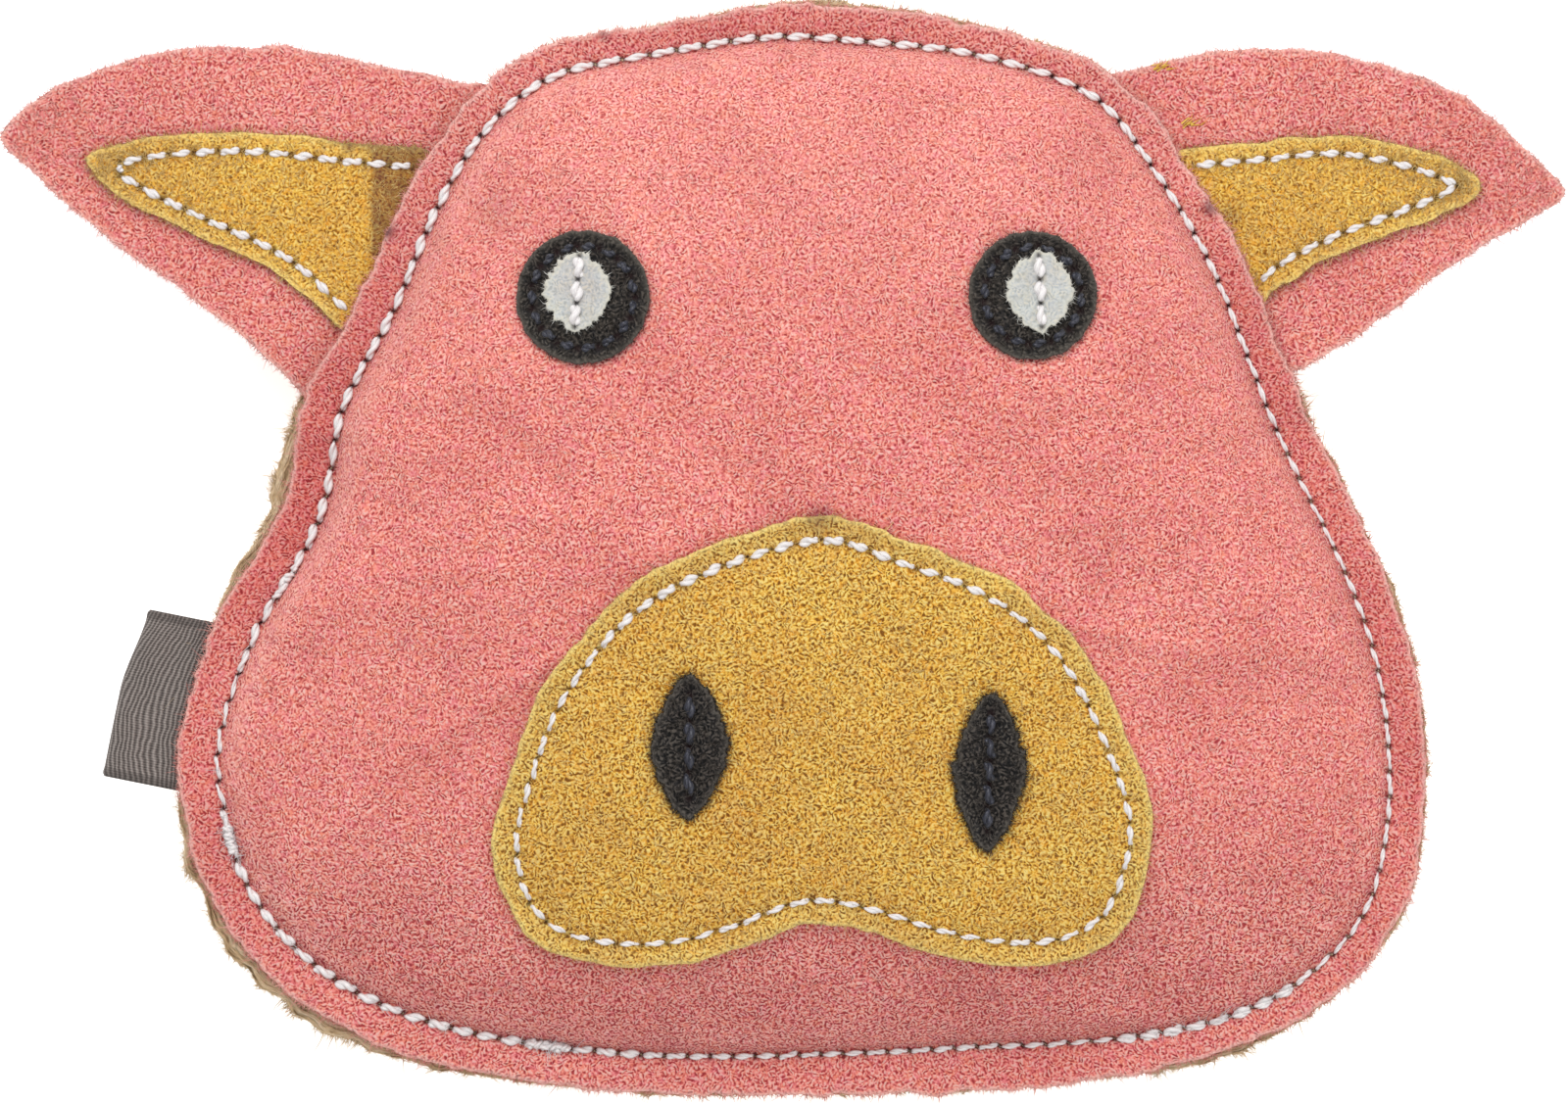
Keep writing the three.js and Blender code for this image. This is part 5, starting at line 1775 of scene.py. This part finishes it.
def shows(insert, along, out):
    """Whether a place of an ear lies outside the panels' edge."""
    flat = to_head(insert, along, out)
    return np.hypot(*flat.T) > edge_radius(np.arctan2(flat[..., 1], flat[..., 0])) + 0.35


def bent(piece, hung, slot, material, nodes=()):
    """A piece of an ear or of the tape: it gets its material, its place is baked into its mesh, and
    the imported nodes that it stands for are hidden. What it is hung by, its insert, the distances
    out of the panels from which and to which it would bend, and its bodies, is not used."""
    piece.data.materials.append(material)
    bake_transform(piece)
    describe(piece, nodes)


print("at its tip the left ear lies", ear_wave(0.0, 48.0).round(2), "mm off its plane")

# %% The grid of an ear
def ragged_outline(outline, insert, reach, seed):
    """The leaf's free edge, from one end of its root round the tip to the other."""
    edge = smooth_path(outline, 14) * [insert["half"], reach]
    stray = 0.16 * waves(*edge.T, 7, seed) + 0.06 * waves(*edge.T, 1.7, seed + 1)
    return edge + outward_of(edge, False) * stray[:, None]


def ruled(edge, size):
    """A grid between the two long edges: each column goes straight across from a place on one to
    the place as far along the other, and the first ones go straight in under the panels."""
    tip = int(np.argmax(edge[:, 1]))
    t = np.concatenate([np.linspace(0, 0.95, size), TIP_SHARES])
    deep = np.linspace(1, 0, ROOT_ROWS + 1)[:-1, None]
    sides = []
    for half_edge in (edge[tip:][::-1], edge[: tip + 1]):
        line, far = measured(half_edge)
        side = places_at(t * far[-1], far, line)
        under = side[0] - [[0, ROOT_DEPTH + side[0, 1]]] * deep
        sides.append(np.vstack([under, side]))
    near = np.array(LONG_EDGE_SHARES)
    v = np.concatenate([near, np.linspace(0.12, 0.88, size // 2), 1 - near[::-1]])[:, None, None]
    grid = sides[0] * (1 - v) + sides[1] * v
    return grid[..., 0], grid[..., 1]


print("the ears' leather is", EAR_LEATHER, "mm thick and reaches", ROOT_DEPTH, "mm into the seam")

# %% A leaf of leather in the seam
def ear_stain(x, y, to_edge, spots, on_top, stained_from, seed):
    """How dark a leaf is marked: its spots, the specks on the edge of the lining, and on a stained
    lining the dirt past a line near the root and a dark line along the edge near the tip."""
    stain = marks(x, y, spots)
    if on_top:
        stain = np.maximum(stain, specks(x, y, to_edge, seed))
    if stained_from is not None:
        dirt = smoothstep(x, stained_from - 0.3, stained_from + 0.3)
        dirt = dirt * (0.6 + 0.08 * waves(x, y, 3, seed))
        # a thin dark line along the lining's edge near the tip
        dark_edge_line = 0.8 * bell(to_edge, 0.4) * smoothstep(x, -60, -56) * (y > 44)
        stain = np.maximum(np.maximum(stain, dirt), dark_edge_line)
    return stain


def flap(name, hung, outline, reach, middle, thickness, holes, seed, kind, nodes, spots, size,
         rim_pale=0.0, rough=0.15, stained_from=None):
    """A leaf of leather sewn in at its root, with the fringe of its edge and the felt on it."""
    insert, (slot, material, fibre) = hung[0], kind
    edge = ragged_outline(outline, insert, reach, seed)
    along, out = ruled(edge, size)
    free = edge[edge[:, 1] > 0.2]
    to_edge = np.minimum(nearest(along, out, free), out + ROOT_DEPTH)
    x, y = np.moveaxis(to_head(insert, along, out), -1, 0)
    hole, on_top = nearest(along, out, holes), middle > 0
    pit = bell(hole, EAR_HOLE)
    level = middle + ear_wave(along, out) - 0.1 * bell(hole, 1.3)
    half = thickness / 2 * cut_round(to_edge, 0.4)
    dent = 0.4 * pit * on_top
    piece = leather(
        name, np.stack([x, y, level + half - dent], -1), np.stack([x, y, level - half], -1), False,
        pit=pit, cut=bell(to_edge, 0.45), rough=rough,
        stain=ear_stain(x, y, to_edge, spots, on_top, stained_from, seed),
        smooth=rim_pale * smoothstep(-to_edge, -LINING_INSET, 0.7 - LINING_INSET),
    )
    bent(piece, hung, slot, material, nodes)
    line, top = to_head(insert, *free.T), ear_level(insert, middle + thickness / 2)
    bent(fringe(f"{name}_fringe", line, top, thickness, 15, 0.45, seed + 5, closed=False), hung,
         slot, fibre)
    inside = to_head(insert, along[2:-2, 4:-6].ravel(), out[2:-2, 4:-6].ravel())
    draw = np.random.default_rng(seed + 7)
    count = size * NAP_PER_ROW
    roots = inside[draw.integers(0, len(inside), count)] + draw.uniform(-0.4, 0.4, (count, 2))
    roots = roots[shows(insert, *from_head(insert, *roots.T))]
    bent(lying(f"{name}_nap", roots, top, 0.8, seed + 8), hung, slot, fibre)


print("an ear's felt is drawn from", EAR_ROWS * NAP_PER_ROW, "fibres")

# %% The two ears
BITS_PER_LINT = 12


def lint(name, spots, height):
    """Bits of ochre shavings that stick to an ear."""
    bits = np.repeat(np.array(spots), BITS_PER_LINT, 0)
    draw = np.random.default_rng(65)
    ways = from_polar(0.5 + 0.25 * draw.normal(size=len(bits)), 1.0)
    bits = bits + draw.normal(size=bits.shape) * [0.5, 0.2]
    over = height(*bits.T)
    lengths = draw.uniform(0.8, 1.5, len(bits))
    return fibres(name, np.column_stack([bits, over]), np.column_stack([ways, 0 * over]), lengths,
                  0.24, 0.2, 66)


for number, (side, ear) in enumerate(EARS.items()):
    insert = inserts[side]
    hung = (insert, ear["bend"], ("head", f"{side}_ear_flap"))
    lining_edge = smooth_path(ear["lining"], 14) * [insert["half"], ear["lining_reach"]]
    lining_line = inset(lining_edge, LINING_INSET, closed=False)
    lining_line = lining_line[shows(insert, *lining_line.T)]
    ear_holes, _ = walk(lining_line, SNOUT_PITCH, 1, closed=False)
    flap(f"{side}_ear_suede", hung, ear["edge"], ear["reach"], EAR_MIDDLE, EAR_LEATHER, ear_holes,
         230 + number, PINK_KIND, [f"{side}_ear", f"{side}_ear_root"], ear["marks"][:1],
         EAR_ROWS)
    flap(f"{side}_ear_lining_suede", hung, ear["lining"], ear["lining_reach"], LINING_MIDDLE,
         LINING_LEATHER, ear_holes, 260 + number, OCHRE_KIND,
         [f"{side}_ear_lining", f"{side}_ear_lining_root"], ear["marks"], LINING_ROWS,
         rim_pale=0.3, rough=-0.05, stained_from=ear.get("stained_from"))
    in_head = to_head(insert, *ear_holes.T)
    lining_level = ear_level(insert, LINING_MIDDLE + LINING_LEATHER / 2 - 0.12)
    ear_under = ear_level(insert, EAR_MIDDLE - EAR_LEATHER / 2 + 0.05)
    on_ear = ear_level(insert, EAR_MIDDLE + EAR_LEATHER / 2 + 0.15)
    bent(stitches(f"{side}_ear_stitches", in_head, lining_level, seed=50 + number, gap=0.3), hung,
         *WHITE_THREAD, [f"{side}_ear_thread"])
    if "lint" in ear:
        bent(lint(f"{side}_ear_lint", ear["lint"], on_ear), hung, "ochre_suede", SHAVING)
    bent(stitches(f"{side}_ear_bobbin_stitches", in_head, ear_under, up=-1, seed=52 + number), hung,
         *WHITE_THREAD, [f"{side}_ear_bobbin_thread"])

# %% [markdown]
# ## The folded tape
#
# A short grey ribbed tape is folded in half and sewn into the seam, its loop a little open. A cloth
# simulation could fold it, but would leave the fold where it fell. Here its section, out along one
# layer and back along the other, is carried across its width, and the piece carries coordinates
# across the tape and along it, for the ribs to follow.

# %% Tape material
RIB_PITCH, RIB_LEAN, RIB_CURVE = 0.5, 0.06, 0.012
YARN_PITCH = 0.3
SELVEDGE = 1.3  # mm wide


def ribbed(name, dark, low, high):
    """Ribbed tape: a sine wave along it whose ribs lean and curve a little across it, crossed by
    finer yarns, with a darker band at each woven edge."""
    material, tree = tree_of(name)
    across, along = attribute(tree, "across"), attribute(tree, "along")
    curve = times(tree, times(tree, across, across), RIB_CURVE)
    rib_place = plus(tree, along, plus(tree, times(tree, across, RIB_LEAN), curve))
    sway = noise(tree, own_place(tree), 3.0)
    rib_place = plus(tree, rib_place, times(tree, sway, 0.9))
    ribs = maths(tree, "SINE", times(tree, rib_place, 2 * np.pi / RIB_PITCH))
    yarns = maths(tree, "SINE", times(tree, across, 2 * np.pi / YARN_PITCH))
    hairs = noise(tree, own_place(tree), 0.3, detail=3.0, rough=0.7)
    height = plus(tree, times(tree, ribs, 0.5), plus(tree, times(tree, yarns, 0.2), hairs))
    colour = ramp(tree, stretch(tree, height, -0.2, 1.3), [(0.0, dark), (0.45, low), (1.0, high)])
    starts = LABEL_WIDTH / 2 - SELVEDGE
    edge = stretch(tree, maths(tree, "ABSOLUTE", across), starts, starts + 0.4, 0.0, 0.45)
    finish(tree, mix(tree, edge, colour, dark), 0.85, height, 0.12)
    return material


GREY_TAPE = ribbed("grey_tape", linear(64, 57, 54), linear(122, 112, 107), linear(172, 162, 156))
print("tape:", GREY_TAPE.name)

# %% Tape
LABEL_REACH, TAPE = 8.4, 0.4  # how far it shows, and how thick it is
LOOP_RADIUS = 0.95
ROOT_GAP = 0.34  # half the distance between the layers' middles, where they are sewn in
OPENS_FROM = 1.2  # mm out of the head, where the layers start to part
BOW = 1.5  # mm that one end of the fold stands further out than the other
TAPE_WAVE = 0.18
TAPE_BEND = (2.1, 4.2)
TAPE_ROUND = 0.25
THICK_EDGE = 0.35  # how much thicker the woven edge is


def tape_section():
    """The middle line of the folded tape, seen from its end: out along the upper layer, round the
    fold as half a circle, and back. Also how far along it each point is."""
    half_turn = np.linspace(np.pi / 2, -np.pi / 2, 21)
    fold_at = LABEL_REACH - LOOP_RADIUS
    straight = np.linspace(-ROOT_DEPTH, fold_at, 40)
    gap = ROOT_GAP + (LOOP_RADIUS - ROOT_GAP) * smoothstep(straight, OPENS_FROM, fold_at)
    out = np.concatenate([straight, fold_at + LOOP_RADIUS * np.cos(half_turn), straight[::-1]])
    z = np.concatenate([gap, LOOP_RADIUS * np.sin(half_turn), -gap[::-1]])
    section, far = measured(np.stack([out, z], 1))
    keep = np.concatenate([[True], np.diff(far) > 1e-6])
    return section[keep], far[keep]


def folded_tape(insert):
    """The tape: its section moved half a thickness along its normal to each side, at each place
    across, where it bows and waves a little. Returns it and its length laid flat."""
    section, far = tape_section()
    tangent = unit(np.gradient(section, axis=0))
    normal = np.stack([-tangent[:, 1], tangent[:, 0]], 1)
    across, along = np.meshgrid(np.linspace(-LABEL_WIDTH / 2, LABEL_WIDTH / 2, 64), far)
    out, z = section[:, :1], section[:, 1:]
    wave = TAPE_WAVE * waves(across, along, 9, 301) * smoothstep(out, 2, 6)
    bow = BOW * smoothstep(-across, -LABEL_WIDTH / 2, 0) * smoothstep(out, 2, 7)
    to_end = np.minimum(far, far[-1] - far)[:, None]
    rounding = cut_round(np.minimum(LABEL_WIDTH / 2 - np.abs(across), to_end), TAPE_ROUND)
    from_selvedge = LABEL_WIDTH / 2 - 0.6 - np.abs(across)
    half = TAPE / 2 * rounding * (1 + THICK_EDGE * bell(from_selvedge, 0.35))
    sides = [
        np.concatenate([to_head(insert, across, out + bow + normal[:, :1] * off),
                        (z + wave + normal[:, 1:] * off)[..., None]], -1)
        for off in (half, -half)
    ]
    return leather("label_tape", *sides, False, across=across, along=along), float(far[-1])


tape, tape_length = folded_tape(inserts["label"])
bent(tape, (inserts["label"], TAPE_BEND, ("head", "label_loop")), "grey_tape", GREY_TAPE,
     ["label", "label_root"])
print("tape cut", LABEL_WIDTH, "by", round(tape_length, 1), "mm")

# %% [markdown]
# ## Threads inside the head
#
# Under every patch the lower thread of its row lies inside the head. It could be built stitch by
# stitch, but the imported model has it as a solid, so that solid stays and only gets its colour.

# %% Threads inside the head
def plain_thread(name, dark, light):
    """Thread whose colour varies with the place, for pieces without coordinates along them."""
    material, tree = tree_of(name)
    shade = noise(tree, own_place(tree), 0.5)
    finish(tree, ramp(tree, shade, [(0.35, dark), (0.65, light)]), 0.5)
    return material


INNER_WHITE = plain_thread("inner_white_thread", linear(206, 198, 208), linear(250, 248, 246))
INNER_BLACK = plain_thread("inner_black_thread", linear(18, 18, 26), linear(74, 76, 92))
INNER_THREADS = {
    "snout": INNER_WHITE, "left_highlight": INNER_WHITE, "right_highlight": INNER_WHITE,
    "left_eye": INNER_BLACK, "right_eye": INNER_BLACK, "left_nostril": INNER_BLACK,
    "right_nostril": INNER_BLACK,
}
for name, material in INNER_THREADS.items():
    inner = frame["nodes"][f"{name}_bobbin_thread"]
    inner.data.materials.clear()
    inner.data.materials.append(material)
print(len(INNER_THREADS), "threads inside the head")

# %% [markdown]
# ## The floor
#
# A plane that only reflects the lamps would turn grey away from them. So the floor also glows a
# little, which keeps it white all over and leaves the soft shadow under the toy.

# %% Floor
FLOOR_HALF = 1.6
FLOOR_GLOW = 0.6
floor = bpy.data.objects.new("floor", bpy.data.meshes.new("floor"))
corners = [(a * FLOOR_HALF, b * FLOOR_HALF, 0) for a, b in ((-1, -1), (1, -1), (1, 1), (-1, 1))]
floor.data.from_pydata(corners, [], [(0, 1, 2, 3)])
bpy.context.scene.collection.objects.link(floor)
light_table, floor_tree = tree_of("light_table")
finish(floor_tree, (0.9, 0.9, 0.9), 0.9, Emission_Color=(1.0, 1.0, 1.0),
       Emission_Strength=FLOOR_GLOW)
floor.data.materials.append(light_table)
print("floor", 2 * FLOOR_HALF, "m square")
